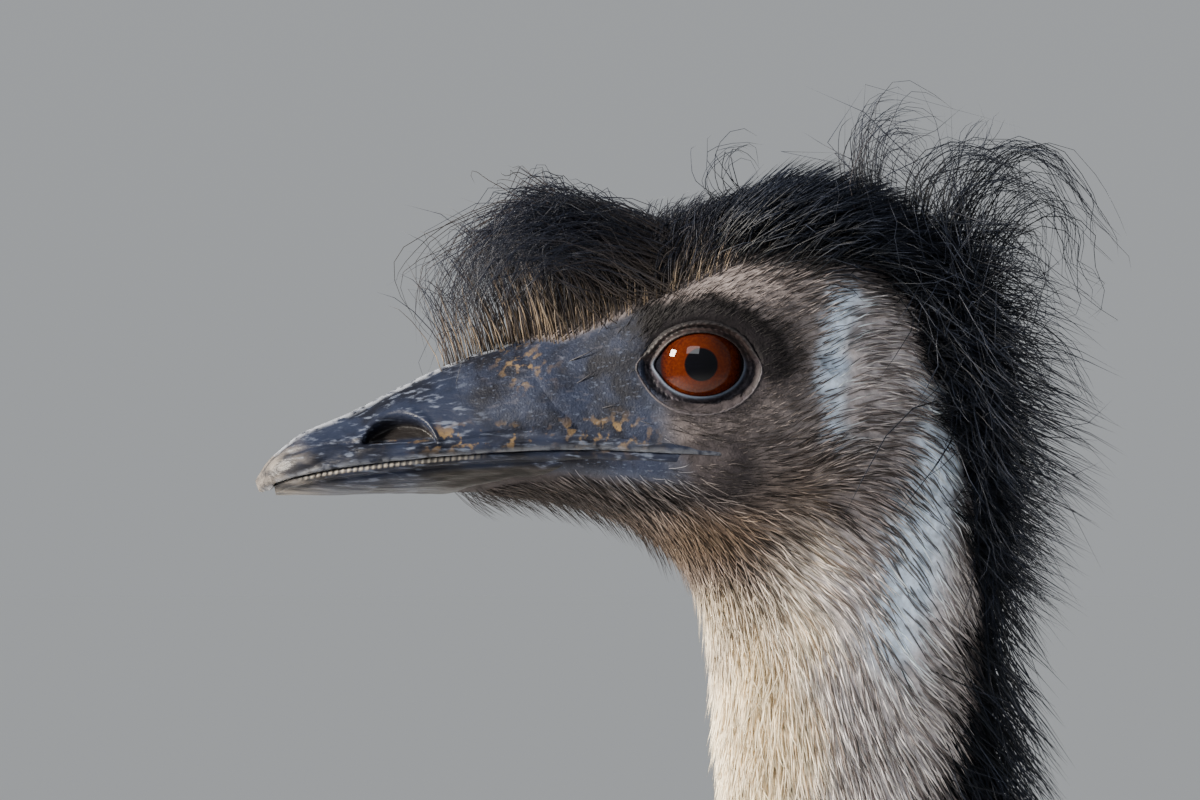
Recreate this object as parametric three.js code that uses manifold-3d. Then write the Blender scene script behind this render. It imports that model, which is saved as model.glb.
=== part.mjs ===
// A standing emu, life size, in millimetres. +Z is up, the bird faces -X, its left side faces -Y.
// The origin is on the floor under the middle of the overall box.
import * as THREE from "three";
import { mergeVertices } from "three/addons/utils/BufferGeometryUtils.js";
import Module from "manifold-3d";

const wasm = await Module();
wasm.setup();

// Driving dimensions
const EYE = { x: -342, y: 16, z: 1600, radius: 15 };
const GAP = 0.3;
const LEG = { y: 92, feathersEnd: 478, ankle: 54, ballX: 60 };
const TOES = [
  { name: "middle", length: 130, splay: 2, wide: 1, scutes: 5 },
  { name: "inner", length: 84, splay: 30, wide: 0.86, scutes: 3 },
  { name: "outer", length: 92, splay: -27, wide: 0.9, scutes: 4 },
];
const LIDS = { long: 10.3, high: 8.2, thick: 1.7, upper: 0.25, proud: 0.8 };
const SIDES = [
  { name: "left", y: -1 },
  { name: "right", y: 1 },
];

const COLOURS = {
  feather: 0x5d5046,
  bill: 0x30343c,
  iris: 0xa8410f,
  scale: 0x4a4640,
  claw: 0x1f1d1c,
};
const material = (colour, roughness) =>
  new THREE.MeshStandardMaterial({ color: colour, roughness, metalness: 0 });
const MATERIALS = {
  feather: material(COLOURS.feather, 0.85),
  bill: material(COLOURS.bill, 0.45),
  iris: material(COLOURS.iris, 0.1),
  scale: material(COLOURS.scale, 0.6),
  claw: material(COLOURS.claw, 0.4),
};

// Solids and meshes
function solidOf(geometry) {
  const bare = geometry.clone();
  bare.deleteAttribute("normal");
  bare.deleteAttribute("uv");
  const merged = mergeVertices(bare, 1e-4);
  const vertProperties = new Float32Array(merged.attributes.position.array);
  const triVerts = new Uint32Array(merged.index.array);
  const made = new wasm.Manifold(new wasm.Mesh({ numProp: 3, vertProperties, triVerts }));
  if (made.volume() > 0) return made;
  triVerts.reverse();
  return new wasm.Manifold(new wasm.Mesh({ numProp: 3, vertProperties, triVerts }));
}

function meshOf(name, solid, look) {
  const made = solid.getMesh();
  const geometry = new THREE.BufferGeometry();
  geometry.setAttribute("position", new THREE.BufferAttribute(made.vertProperties, 3));
  geometry.setIndex(new THREE.BufferAttribute(made.triVerts, 1));
  geometry.computeVertexNormals();
  const mesh = new THREE.Mesh(geometry, look);
  mesh.name = name;
  return mesh;
}

function largest(solid) {
  return solid.decompose().sort((a, b) => b.volume() - a.volume())[0];
}

const clamp = THREE.MathUtils.clamp;
const lerp = THREE.MathUtils.lerp;

// A sweep runs along matched upper and lower lines in a plane of constant y.
// Each station is [upper x, upper z, lower x, lower z, half width, coat depth, squareness, top narrowing].
class Sweep {
  constructor(stations, y = 0) {
    const column = (i, fallback) => stations.map((s) => s[i] ?? fallback);
    this.y = y;
    this.last = stations.length - 1;
    const curve = (xs, ys, zs) =>
      new THREE.CatmullRomCurve3(
        xs.map((x, i) => new THREE.Vector3(x, ys[i], zs[i])),
        false,
        "catmullrom",
        0.5,
      );
    this.upper = curve(column(0), column(4), column(1));
    this.lower = curve(column(2), column(5, 0), column(3));
    this.form = curve(column(6, 2.2), column(7, 0), column(6, 0));
  }

  // The surface point at station t and angle a, let out by an offset. The upper line is at 90 degrees.
  point(t, a, offset = 0) {
    const u = clamp(t / this.last, 0, 1);
    const top = this.upper.getPoint(u);
    const low = this.lower.getPoint(u);
    const form = this.form.getPoint(u);
    const across = new THREE.Vector3(top.x - low.x, 0, top.z - low.z);
    const half = Math.max(across.length() / 2 + offset, 0.05);
    const wide = Math.max(top.y + offset, 0.05);
    across.normalize();
    const power = 2 / form.x;
    const c = Math.sign(Math.cos(a)) * Math.abs(Math.cos(a)) ** power;
    const s = Math.sign(Math.sin(a)) * Math.abs(Math.sin(a)) ** power;
    return new THREE.Vector3(
      (top.x + low.x) / 2 + across.x * half * s,
      this.y + wide * c * (1 - form.y * s),
      (top.z + low.z) / 2 + across.z * half * s,
    );
  }

  // A closed surface over the given stations, from a sphere whose poles become the two ends.
  solid({ rings, around, relief = () => 0, offset = 0 }) {
    const ball = new THREE.SphereGeometry(1, around, rings.length + 1);
    const at = ball.attributes.position;
    for (let i = 0; i < at.count; i++) {
      const row = Math.floor(i / (around + 1));
      const angle = ((i % (around + 1)) % around) * ((2 * Math.PI) / around);
      const end = row === 0 || row === rings.length + 1;
      const t = rings[clamp(row - 1, 0, rings.length - 1)];
      let p = this.point(t, angle, offset + relief(t, angle, this.point(t, angle)));
      if (end) p = this.point(t, 0).add(this.point(t, Math.PI)).multiplyScalar(0.5);
      at.setXYZ(i, p.x, p.y, p.z);
    }
    return solidOf(ball);
  }

  // The plane through both lines at station t, as a unit normal towards later stations and its distance.
  plane(t) {
    const top = this.point(t, Math.PI / 2);
    const low = this.point(t, -Math.PI / 2);
    const across = top.clone().sub(low).setY(0).normalize();
    const normal = new THREE.Vector3(across.z, 0, -across.x);
    const ahead = this.point(t + 0.1, 0).sub(this.point(t - 0.1, 0));
    if (normal.dot(ahead) < 0) normal.negate();
    return { normal: [normal.x, 0, normal.z], distance: normal.dot(top) };
  }
}

const steps = (from, to, count) =>
  Array.from({ length: count }, (_, i) => lerp(from, to, i / (count - 1)));

// The stretch of a solid between two stations of a sweep, half a gap inside each plane.
function stretch(solid, sweep, from, to) {
  let made = solid;
  if (from !== null) {
    const start = sweep.plane(from);
    made = made.trimByPlane(start.normal, start.distance + GAP / 2);
  }
  if (to !== null) {
    const stop = sweep.plane(to);
    made = made.trimByPlane(
      stop.normal.map((n) => -n),
      -stop.distance + GAP / 2,
    );
  }
  return largest(made);
}

// Head, neck and body: one line of stations from the bill's tip to the tail. The head's are set from the eye.
const head = (ux, uz, lx, lz, ...rest) => [EYE.x + ux, EYE.z + uz, EYE.x + lx, EYE.z + lz, ...rest];
const BODY_STATIONS = [
  head(-97.8, -25.5, -97, -27.8, 1.2, 0, 2, 0),
  head(-94.5, -20.5, -93.5, -28.6, 5.2, 0, 2, 0.1),
  head(-88, -15.6, -87.5, -29, 9, 0, 2, 0.2),
  head(-77, -11, -77, -29, 12.3, 0, 2, 0.3),
  head(-62, -3.2, -62, -28.6, 15, 0, 2, 0.35),
  head(-50, 1.6, -49, -28, 17, 0, 2, 0.3),
  head(-40, 5.5, -37, -28.8, 19.5, 1, 2, 0.2),
  head(-24, 16.5, -25, -31.5, 23.5, 1.5, 2.1, 0.15),
  head(-6, 28, -14, -36.5, 28, 2, 2.2, 0.1),
  head(15, 34.5, -6, -43, 30.5, 2, 2.3, 0.05),
  head(35, 33, -1.5, -50.5, 31, 2.5, 2.3),
  head(49, 23.5, 0.5, -58, 29.5, 3),
  head(57, 8, 2, -66, 28, 3),
  head(61, -12, 3.2, -75, 27.5, 3),
  head(64, -36, 4, -87, 27.5, 3),
  head(66, -64, 5, -103, 28, 4),
  head(68.5, -96, 6, -122, 29, 5),
  [-268, 1440, -334, 1425, 31, 6],
  [-264, 1370, -336, 1360, 35, 9],
  [-258, 1290, -345, 1278, 42, 13],
  [-247, 1210, -357, 1190, 53, 19],
  [-225, 1135, -371, 1097, 70, 27],
  [-185, 1082, -390, 1000, 96, 36],
  [-110, 1062, -400, 900, 134, 46],
  [-20, 1068, -370, 795, 175, 54],
  [80, 1074, -265, 705, 205, 56],
  [180, 1062, -105, 655, 218, 56],
  [270, 1030, 60, 640, 220, 54],
  [338, 978, 202, 645, 203, 48],
  [382, 905, 308, 660, 166, 40],
  [402, 830, 370, 700, 110, 28],
  [405, 775, 398, 745, 20, 6],
];
const CUT = { nape: 13, neckHigh: 17.5, neckLow: 20, neckBase: 22, rump: 28.4 };

// A rounded rise or hollow on the head, placed from the eye.
const bump = (p, x, z, long, high, push) =>
  push * Math.exp(-(((p.x - EYE.x - x) / long) ** 2) - ((p.z - EYE.z - z) / high) ** 2);

function headRelief(t, a, p) {
  if (t > 15 || Math.abs(p.y) < 6) return 0;
  const socket = bump(p, 0, 0, 11, 9, -1.8);
  const brow = bump(p, 1, 13, 17, 5, 2.6);
  const cheek = bump(p, 22, -20, 20, 14, 2);
  const lore = bump(p, -24, -4, 12, 9, -1.2);
  return socket + brow + cheek + lore;
}

const body = new Sweep(BODY_STATIONS);
const coatAt = (t) => body.lower.getPoint(clamp(t / body.last, 0, 1)).y;

// Below the upper neck the solid is a core that lies half way into the plumage, and locks reach the outline.
const CORE = { starts: 17, full: 19.5, share: 0.48 };
const coreInset = (t) => -CORE.share * THREE.MathUtils.smoothstep(t, CORE.starts, CORE.full) * coatAt(t);
const FRONT_GRID = {
  rings: [...steps(0, 6, 9), ...steps(6.6, 11, 10), ...steps(11.8, 16, 6), 17, 18.5],
  around: 24,
};
const REAR_GRID = { rings: steps(16.6, 31, 14), around: 18 };
const relief = (t, a, p) => coreInset(t) + headRelief(t, a, p);
const front = body.solid({ ...FRONT_GRID, relief });
const frontGrown = body.solid({ ...FRONT_GRID, relief, offset: GAP });
const rear = body.solid({ ...REAR_GRID, relief });
const rearGrown = body.solid({ ...REAR_GRID, relief, offset: GAP });

const turned = (geometry, { rotate = [0, 0, 0], scale = [1, 1, 1], at = [0, 0, 0] }) => {
  const matrix = new THREE.Matrix4().compose(
    new THREE.Vector3(...at),
    new THREE.Quaternion().setFromEuler(new THREE.Euler(...rotate)),
    new THREE.Vector3(...scale),
  );
  return geometry.clone().applyMatrix4(matrix);
};

// Bill: the mouth is a thin curved slit, and each half ends at its own base
const MOUTH = [
  [-125, -38],
  [-97, -28.4],
  [-92, -25.6],
  [-77, -22.4],
  [-55, -20],
  [-30, -18.7],
  [4.4, -19.6],
];
const BILL_BASE = { top: [-43, 12], gape: [-17, -18.9], lower: -20, below: -70 };
const mouthCurve = new THREE.SplineCurve(MOUTH.map(([x, z]) => new THREE.Vector2(x, z))).getPoints(10);

// A block across the head with the given outline in side view, placed from the eye.
const BLOCK_REACH = 60;
function blockOf(outline) {
  const shape = new THREE.Shape(outline.map(([x, z]) => new THREE.Vector2(x, z)));
  const slab = new THREE.ExtrudeGeometry(shape, { depth: 2 * BLOCK_REACH, bevelEnabled: false });
  return solidOf(turned(slab, { rotate: [Math.PI / 2, 0, 0], at: [EYE.x, BLOCK_REACH, EYE.z] }));
}
const mouthTo = (end, rise) => [
  ...mouthCurve.filter((p) => p.x < end[0] - 1).map((p) => [p.x, p.y + rise]),
  [end[0], end[1] + rise],
];

// The space of each half of the bill, let out by a margin.
function upperZone(margin) {
  const [topX, topZ] = BILL_BASE.top;
  const [gapeX, gapeZ] = BILL_BASE.gape;
  const back = [topX - gapeX, topZ - gapeZ];
  const far = [topX + back[0] + margin, topZ + back[1]];
  return blockOf([...mouthTo([gapeX + margin, gapeZ], -margin), far, [MOUTH[0][0], far[1]]]);
}
function lowerZone(margin) {
  const baseX = BILL_BASE.lower + margin;
  const mouth = mouthTo([baseX, BILL_BASE.gape[1]], margin);
  return blockOf([...mouth, [baseX, BILL_BASE.below], [MOUTH[0][0], BILL_BASE.below]]);
}
const mouthSlit = blockOf([
  ...mouthTo(MOUTH.at(-1), GAP / 2),
  ...mouthTo(MOUTH.at(-1), -GAP / 2).reverse(),
]);

// Eyes and lids
const eyeBall = (side, grow = 0) =>
  solidOf(turned(new THREE.SphereGeometry(EYE.radius + grow, 14, 9), { at: [EYE.x, side.y * EYE.y, EYE.z] }));

// Both lids are one rounded rim, wrapped on the eyeball and thicker above.
const RIM = { tube: 0.16, sides: 5, around: 18 };
function lidRing(side) {
  const ring = new THREE.TorusGeometry(1, RIM.tube, RIM.sides, RIM.around);
  const at = ring.attributes.position;
  const reach = EYE.radius + 0.2;
  for (let i = 0; i < at.count; i++) {
    const angle = Math.atan2(at.getY(i), at.getX(i));
    const out = (Math.hypot(at.getX(i), at.getY(i)) - 1) / RIM.tube;
    const rise = at.getZ(i) / RIM.tube;
    const thick = LIDS.thick * (1 + LIDS.upper * Math.sin(angle));
    const x = Math.cos(angle) * (LIDS.long + out * thick);
    const z = Math.sin(angle) * (LIDS.high + out * thick);
    const depth = Math.sqrt(reach ** 2 - Math.min(x * x + z * z, 0.8 * reach ** 2));
    at.setXYZ(i, EYE.x + x, side.y * (EYE.y + depth + rise * thick * LIDS.proud), EYE.z + z);
  }
  return solidOf(ring);
}

// The skin's y at a place in side view, by trying the sweep's own points over the head.
function surfaceY(x, z, side) {
  let best = { miss: Infinity, y: 0 };
  for (const t of steps(0, CUT.nape, 260)) {
    for (const a of steps(-80, 80, 41)) {
      const p = body.point(t, THREE.MathUtils.degToRad(a));
      const miss = Math.hypot(p.x - x, p.z - z);
      if (miss < best.miss) best = { miss, y: p.y };
    }
  }
  return side.y * best.y;
}

const EAR = { x: 30, z: 2, long: 4.4, high: 3, deep: 2.6 };
function earCup(side) {
  const y = surfaceY(EYE.x + EAR.x, EYE.z + EAR.z, side);
  return solidOf(
    turned(new THREE.SphereGeometry(1, 8, 6), {
      scale: [EAR.long, EAR.deep, EAR.high],
      at: [EYE.x + EAR.x, y, EYE.z + EAR.z],
    }),
  );
}

const NOSTRIL = { x: -66, z: -14.2, long: 7.4, high: 3.2, deep: 4.5, tilt: 0.12 };
function nostril(side) {
  const y = surfaceY(EYE.x + NOSTRIL.x, EYE.z + NOSTRIL.z, side);
  return solidOf(
    turned(new THREE.SphereGeometry(1, 10, 6), {
      scale: [NOSTRIL.long, NOSTRIL.deep, NOSTRIL.high],
      rotate: [0, NOSTRIL.tilt, 0],
      at: [EYE.x + NOSTRIL.x, y, EYE.z + NOSTRIL.z],
    }),
  );
}

// Plumage: flat, tapered locks rooted in the solid below, which overlap as tiles do and rise to their tips.
let seed = 11;
function random() {
  seed = (seed * 1664525 + 1013904223) % 4294967296;
  return seed / 4294967296;
}
const vary = (share) => 1 + share * (2 * random() - 1);
const within = (spread) => spread * (2 * random() - 1);

// A closed three-sided strip along a line, flat below and ridged above, from a narrow root to a thin tip.
// A strip that is let out by grow is widened more than that, as the edges of its flat section are sharp.
const STRIP_CORNERS = [
  [0.5, -0.5],
  [-0.5, -0.5],
  [0, 0.5],
];
const STRIP = { widest: 0.4, root: 0.15, tip: 0.2 };
function strip(line, outward, { wide, thick, rings = 4 }, grow) {
  const ball = new THREE.SphereGeometry(1, 3, rings + 1);
  const at = ball.attributes.position;
  const growAcross = grow * (1.1 + wide / thick);
  for (let i = 0; i < at.count; i++) {
    const row = Math.floor(i / 4);
    const share = row / (rings + 1);
    const ahead = line.getTangent(share);
    const across = new THREE.Vector3().crossVectors(ahead, outward(share)).normalize();
    const up = new THREE.Vector3().crossVectors(across, ahead);
    const p = line.getPoint(share);
    if (row === 0 || row === rings + 1) {
      p.addScaledVector(ahead, row === 0 ? -grow : 3 * grow);
    } else {
      const opening = Math.min(share / STRIP.widest, 1);
      const closing = Math.max((share - STRIP.widest) / (1 - STRIP.widest), 0);
      const spread = lerp(STRIP.root, 1, opening) * lerp(1, STRIP.tip, closing ** 1.6);
      const [side, rise] = STRIP_CORNERS[(i % 4) % 3];
      p.addScaledVector(across, side * (wide * spread + 2 * growAcross));
      p.addScaledVector(up, rise * (thick * (0.5 + 0.5 * spread) + 2.4 * grow));
    }
    at.setXYZ(i, p.x, p.y, p.z);
  }
  return solidOf(ball);
}

// A lock and the space that it keeps clear of other nodes.
const lock = (line, outward, size) => ({
  solid: strip(line, outward, size, 0),
  space: strip(line, outward, size, GAP),
});
const joined = (solids) => solids.reduce((all, one) => all.add(one));

// The outward normal of a sweep's surface, and the steps in t and a that move a point by a given amount.
function surfaceAt(sweep, t, a) {
  const along = sweep.point(t + 0.05, a).sub(sweep.point(t - 0.05, a)).multiplyScalar(10);
  const around = sweep.point(t, a + 0.05).sub(sweep.point(t, a - 0.05)).multiplyScalar(10);
  const middle = sweep.point(t, Math.PI / 2).add(sweep.point(t, -Math.PI / 2)).multiplyScalar(0.5);
  const normal = new THREE.Vector3().crossVectors(along, around).normalize();
  if (normal.dot(sweep.point(t, a).sub(middle)) < 0) normal.negate();
  const walk = (move) => {
    const [tt, ta, aa] = [along.dot(along), along.dot(around), around.dot(around)];
    const [mt, ma] = [along.dot(move), around.dot(move)];
    const size = tt * aa - ta * ta;
    return [(mt * aa - ma * ta) / size, (ma * tt - mt * ta) / size];
  };
  return { normal, walk };
}

// A lock that lies over a sweep from station t and angle a along its lie. It starts below the surface by
// sink, ends above it by rise, and hangs free where the surface turns under.
const LAY = { steps: 5, under: -0.2, lift: 0.5, fall: [0.35, 0.2] };
function laid(sweep, t, a, { length, wide, thick, sink, rise, lie, hangs = true, rings }) {
  const points = [];
  const normals = [];
  const pace = length / LAY.steps;
  let free = false;
  for (let i = 0; i <= LAY.steps; i++) {
    const { normal, walk } = surfaceAt(sweep, t, a);
    free = free || (hangs && i > 1 && normal.z < LAY.under);
    const last = points.at(-1);
    const flow = lie(last ?? sweep.point(t, a));
    if (free) {
      const fall = new THREE.Vector3(flow.x * LAY.fall[0], flow.y * LAY.fall[1], flow.z).normalize();
      points.push(last.clone().addScaledVector(fall, pace));
      normals.push(normals.at(-1));
      continue;
    }
    points.push(sweep.point(t, a, lerp(-sink, rise, (i / LAY.steps) ** LAY.lift)));
    normals.push(normal);
    const move = flow.clone().addScaledVector(normal, -flow.dot(normal));
    const [dt, da] = walk(move.normalize().multiplyScalar(pace));
    t = clamp(t + dt, 0, sweep.last - 0.2);
    a += da;
  }
  const line = new THREE.CatmullRomCurve3(points);
  const outward = (share) => normals[Math.round(share * LAY.steps)];
  return lock(line, outward, { wide, thick, rings });
}

const flow = (x, y, z) => new THREE.Vector3(x, y, z).normalize();

// Roots spread over a stretch of a sweep, in rows round it with each row set half a pitch on from the last.
function roots(sweep, { from, to, rows, high, low, pitch }) {
  const found = [];
  const angles = steps(THREE.MathUtils.degToRad(high), THREE.MathUtils.degToRad(low), 41);
  for (let row = 0; row < rows; row++) {
    const t = lerp(from, to, row / (rows - 1));
    const runs = [0];
    for (let i = 1; i < angles.length; i++) {
      runs.push(runs.at(-1) + sweep.point(t, angles[i]).distanceTo(sweep.point(t, angles[i - 1])));
    }
    const count = Math.round(runs.at(-1) / pitch);
    for (let k = 0; k < count; k++) {
      const run = (runs.at(-1) * (k + (row % 2 ? 0.75 : 0.25))) / count;
      found.push([t, angles[runs.findIndex((r) => r >= run)]]);
    }
  }
  return found;
}
const onSide = (a, side) => (side.y > 0 ? a : Math.PI - a);

// The whole coat of a stretch on both sides of the bird.
function coat(sweep, area, size, lie) {
  const made = [];
  for (const side of SIDES) {
    for (const [t, a] of roots(sweep, area)) {
      const depth = coatAt(t);
      made.push(
        laid(sweep, t + within(area.stray), onSide(a + within(0.04), side), {
          ...size,
          length: size.length * vary(0.14),
          wide: size.wide * vary(0.12),
          sink: depth * 0.84,
          rise: depth * within(0.07),
          lie: lie(side, within(0.12)),
        }),
      );
    }
  }
  return made;
}

// The plumage falls down the neck, parts along the back, and sweeps down and backwards over the body.
const neckLie = (side, stray) => (p) => flow(0.12 + stray, 0, -1);
const bodyLie = (side, stray) => (p) => {
  const back = THREE.MathUtils.smoothstep(p.x, -330, 120);
  const part = THREE.MathUtils.smoothstep(Math.abs(p.y), 10, 120);
  return flow(lerp(0.12, 0.85, back) + stray, side.y * 0.45 * part, -0.9);
};

// Crest: forelock, crown, the curly wisps behind the crown, and the shag down the nape, placed from the eye.
const fromEye = (x, y, z) => new THREE.Vector3(EYE.x + x, y, EYE.z + z);
const offset = (p, x, y, z) => p.clone().add(new THREE.Vector3(x, y, z));

// A crest lock stands on the head at station t and angle a. Its flat faces look sideways and a little up.
function crestLock(t, a, course, size) {
  const root = body.point(t, a, -2.5);
  const line = new THREE.CatmullRomCurve3([root, ...course(root)]);
  const lean = Math.cos(a) < 0 ? -1 : 1;
  const outward = flow(0, lean, 0.45);
  return lock(line, () => outward, { ...size, wide: size.wide * vary(0.15) });
}

// Forelock: it rises from the forehead, arches forwards and droops over the base of the bill.
const FORELOCK = { wide: 9, thick: 1.6, rings: 4 };
const FORELOCK_ROWS = [
  { t: 6.4, spread: 38, count: 4, rise: [-9, 13], arch: [-17, 13], droop: [-19, 1] },
  { t: 6.95, spread: 44, count: 4, rise: [-9, 18], arch: [-24, 20], droop: [-30, 0] },
  { t: 7.45, spread: 46, count: 4, rise: [-12, 18], arch: [-31, 20], droop: [-42, 0] },
  { t: 8, spread: 42, count: 4, rise: [-15, 14], arch: [-40, 15], droop: [-54, -8] },
];
function forelock() {
  const made = [];
  for (const { t, spread, count, rise, arch, droop } of FORELOCK_ROWS) {
    for (let i = 0; i < count; i++) {
      const share = (2 * i) / (count - 1) - 1;
      const a = THREE.MathUtils.degToRad(90 - spread * share + within(3));
      const side = share * 3 + within(1.5);
      const high = vary(0.12);
      made.push(
        crestLock(t + within(0.1), a, (root) => [
          offset(root, rise[0], side * 0.5, rise[1] * high),
          offset(root, arch[0], side, arch[1] * high),
          offset(root, droop[0] + within(3), side * 1.4, droop[1] + within(5)),
        ], FORELOCK),
      );
    }
  }
  return made;
}

// Crown: short locks that lie back and stand a little off the skull.
const CROWN = { wide: 10, thick: 1.8, rings: 3 };
function crown() {
  const made = [];
  for (const [t, count] of [[8.4, 2], [8.9, 3], [9.5, 3]]) {
    for (let i = 0; i < count; i++) {
      const share = (2 * i) / (count - 1) - 1;
      const a = THREE.MathUtils.degToRad(90 - 30 * share + within(5));
      made.push(
        crestLock(t, a, (root) => [
          offset(root, 5, share * 2, 9),
          offset(root, 15 + within(2), share * 4, 12 + within(2)),
          offset(root, 27 + within(3), share * 5 + within(2), 9 + within(3)),
        ], CROWN),
      );
    }
  }
  return made;
}

// Wisps: a loose fan from straight up to backwards and down, each curling over at its tip.
const WISP = { wide: 10, thick: 1.6, rings: 5 };
const FAN = { from: 78, to: -48, rows: 6, reach: 36, curl: 10 };
function wisps() {
  const made = [];
  for (let row = 0; row < FAN.rows; row++) {
    const share = row / (FAN.rows - 1);
    for (const across of [-1, 0, 1]) {
      const angle = THREE.MathUtils.degToRad(lerp(FAN.from, FAN.to, share) + across * 8 + within(6));
      const reach = FAN.reach * vary(0.16) * (1 + 0.2 * Math.sin(Math.PI * share));
      const out = new THREE.Vector3(Math.cos(angle), across * 0.3 + within(0.1), Math.sin(angle));
      const turn = new THREE.Vector3(Math.sin(angle), 0, -Math.cos(angle));
      const a = THREE.MathUtils.degToRad(90 - across * 32 + within(5));
      const bend = (root, far, over) =>
        root.clone().addScaledVector(out, reach * far).addScaledVector(turn, over);
      made.push(
        crestLock(lerp(10, 12.2, share), a, (root) => [
          bend(root, 0.4, -4),
          bend(root, 0.85, -3),
          bend(root, 1, FAN.curl * 0.4),
          bend(root, 0.82, FAN.curl * 0.9),
        ], WISP),
      );
    }
  }
  return made;
}

// Shag: overlapping locks down the nape and the back of the neck.
const SHAG = { length: 44, wide: 13, thick: 2.6, rings: 4 };
function shag(stations, size = SHAG) {
  const made = [];
  stations.forEach((t, row) => {
    for (const across of row % 2 ? [0] : [-1, 1]) {
      const a = THREE.MathUtils.degToRad(90 - across * 22);
      const stray = within(0.1);
      made.push(
        laid(body, t, a, {
          ...size,
          length: size.length * vary(0.12),
          sink: 3,
          rise: 9 * vary(0.25),
          lie: () => flow(0.2 + stray, across * 0.1, -1),
        }),
      );
    }
  });
  return made;
}

const group = new THREE.Group();
const add = (name, solid, look) => group.add(meshOf(name, solid, look));

// The part of a grown core behind or ahead of a cut, which locks of the node on its other side stay clear of.
const beyond = (grown, t) => {
  const { normal, distance } = body.plane(t);
  return grown.trimByPlane(normal, distance - GAP / 2);
};
const before = (grown, t) => {
  const { normal, distance } = body.plane(t);
  return grown.trimByPlane(normal.map((n) => -n), -distance - GAP / 2);
};
const clearOf = (locks, obstacles) =>
  obstacles.reduce((left, obstacle) => left.subtract(obstacle), joined(locks.map(({ solid }) => solid)));
const spaceOf = (locks) => joined(locks.map(({ space }) => space));

let billUpper = front.intersect(upperZone(-GAP / 2));
const billLower = front.intersect(lowerZone(-GAP / 2));
for (const side of SIDES) billUpper = billUpper.subtract(nostril(side));

let skull = stretch(front, body, null, CUT.nape).subtract(mouthSlit);
for (const side of SIDES) skull = skull.add(lidRing(side));
for (const side of SIDES) skull = skull.subtract(eyeBall(side, GAP)).subtract(earCup(side));
skull = skull.subtract(upperZone(GAP / 2)).subtract(lowerZone(GAP / 2));

const headLocks = [...forelock(), ...crown(), ...wisps(), ...shag([11.7, 12.2, 12.7])];
const billSpace = frontGrown.intersect(upperZone(GAP / 2));
skull = skull.add(clearOf(headLocks, [billSpace, beyond(frontGrown, CUT.nape)]));

add("head", largest(skull), MATERIALS.feather);
add("bill_upper", largest(billUpper), MATERIALS.bill);
add("bill_lower", largest(billLower), MATERIALS.bill);
for (const side of SIDES) add(`eye_${side.name}`, eyeBall(side), MATERIALS.iris);

// Neck: the shag goes on down the back of it, and locks close round it towards the body.
const upperLocks = shag([13.3, 13.9, 14.5, 15, 15.5, 16, 16.35, 16.7, 17.05]);
const middleLocks = [
  ...shag([17.6, 18, 18.4, 18.8], { ...SHAG, length: 62, wide: 18 }),
  ...coat(body, { from: 19.1, to: 19.7, rows: 2, high: 88, low: -88, pitch: 46, stray: 0.05 },
    { length: 90, wide: 42, thick: 2, rings: 3 }, neckLie),
];
const lowerLocks = coat(body, { from: 20.3, to: 21.6, rows: 3, high: 88, low: -88, pitch: 66, stray: 0.06 },
  { length: 125, wide: 60, thick: 2.6, rings: 3 }, neckLie);

const upper = { core: front, grown: frontGrown, locks: upperLocks };
const middle = { core: rear, grown: rearGrown, locks: middleLocks };
const lower = { core: rear, grown: rearGrown, locks: lowerLocks };
const NECK = [
  { name: "neck_upper", from: CUT.nape, to: CUT.neckHigh, ...upper },
  { name: "neck_middle", from: CUT.neckHigh, to: CUT.neckLow, ...middle },
  { name: "neck_lower", from: CUT.neckLow, to: CUT.neckBase, ...lower },
];
NECK.forEach(({ name, from, to, core, grown, locks }, i) => {
  const above = spaceOf(i > 0 ? NECK[i - 1].locks : headLocks);
  const hanging = clearOf(locks, [above, before(grown, from), beyond(grown, to)]);
  add(name, largest(stretch(core, body, from, to).add(hanging)), MATERIALS.feather);
});

// Legs: one line of stations from the hip to the ball of the foot, the front line first
const LEG_STATIONS = [
  [-95, 760, 70, 800, 58],
  [-88, 690, 92, 722, 62],
  [-58, 620, 112, 642, 56],
  [-16, 562, 126, 578, 44],
  [34, 510, 134, 524, 33],
  [68, 474, 139, 481, 27.5],
  [83, 446, 143, 442, 27.5],
  [90, 418, 139, 410, 24],
  [91, 378, 130, 370, 19.5],
  [83, 300, 118, 296, 17.5],
  [71, 200, 104, 197, 16.5],
  [59, 110, 92, 108, 17.5],
  [45, 62, 84, 58, 21],
  [32, 32, 86, 30, 25],
  [38, -3, 80, -3, 22],
];
const SHANK_SCUTES = { from: 7.4, to: 12.2, count: 9, rise: 1.2 };

// A stepped rise over the front of a sweep, one step to a scute.
const scuteRelief = ({ from, to, count, rise }) => (t, a) => {
  const front = Math.sin(a);
  if (t < from || t > to || front < 0.2) return 0;
  const along = ((t - from) / (to - from)) * count;
  return rise * (along - Math.floor(along - 1e-6)) * Math.min(1, 2 * (front - 0.2));
};
const scuteRings = ({ from, to, count }) =>
  Array.from({ length: count }, (_, k) => [k + 0.03, k + 0.97])
    .flat()
    .map((k) => lerp(from, to, k / count));

function leg(side, grow = 0) {
  const sweep = new Sweep(LEG_STATIONS, side.y * LEG.y);
  return sweep.solid({
    rings: [...steps(0, 7.1, 9), ...scuteRings(SHANK_SCUTES), 12.6, 13.3, 14],
    around: 10,
    relief: scuteRelief(SHANK_SCUTES),
    offset: grow,
  });
}

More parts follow.
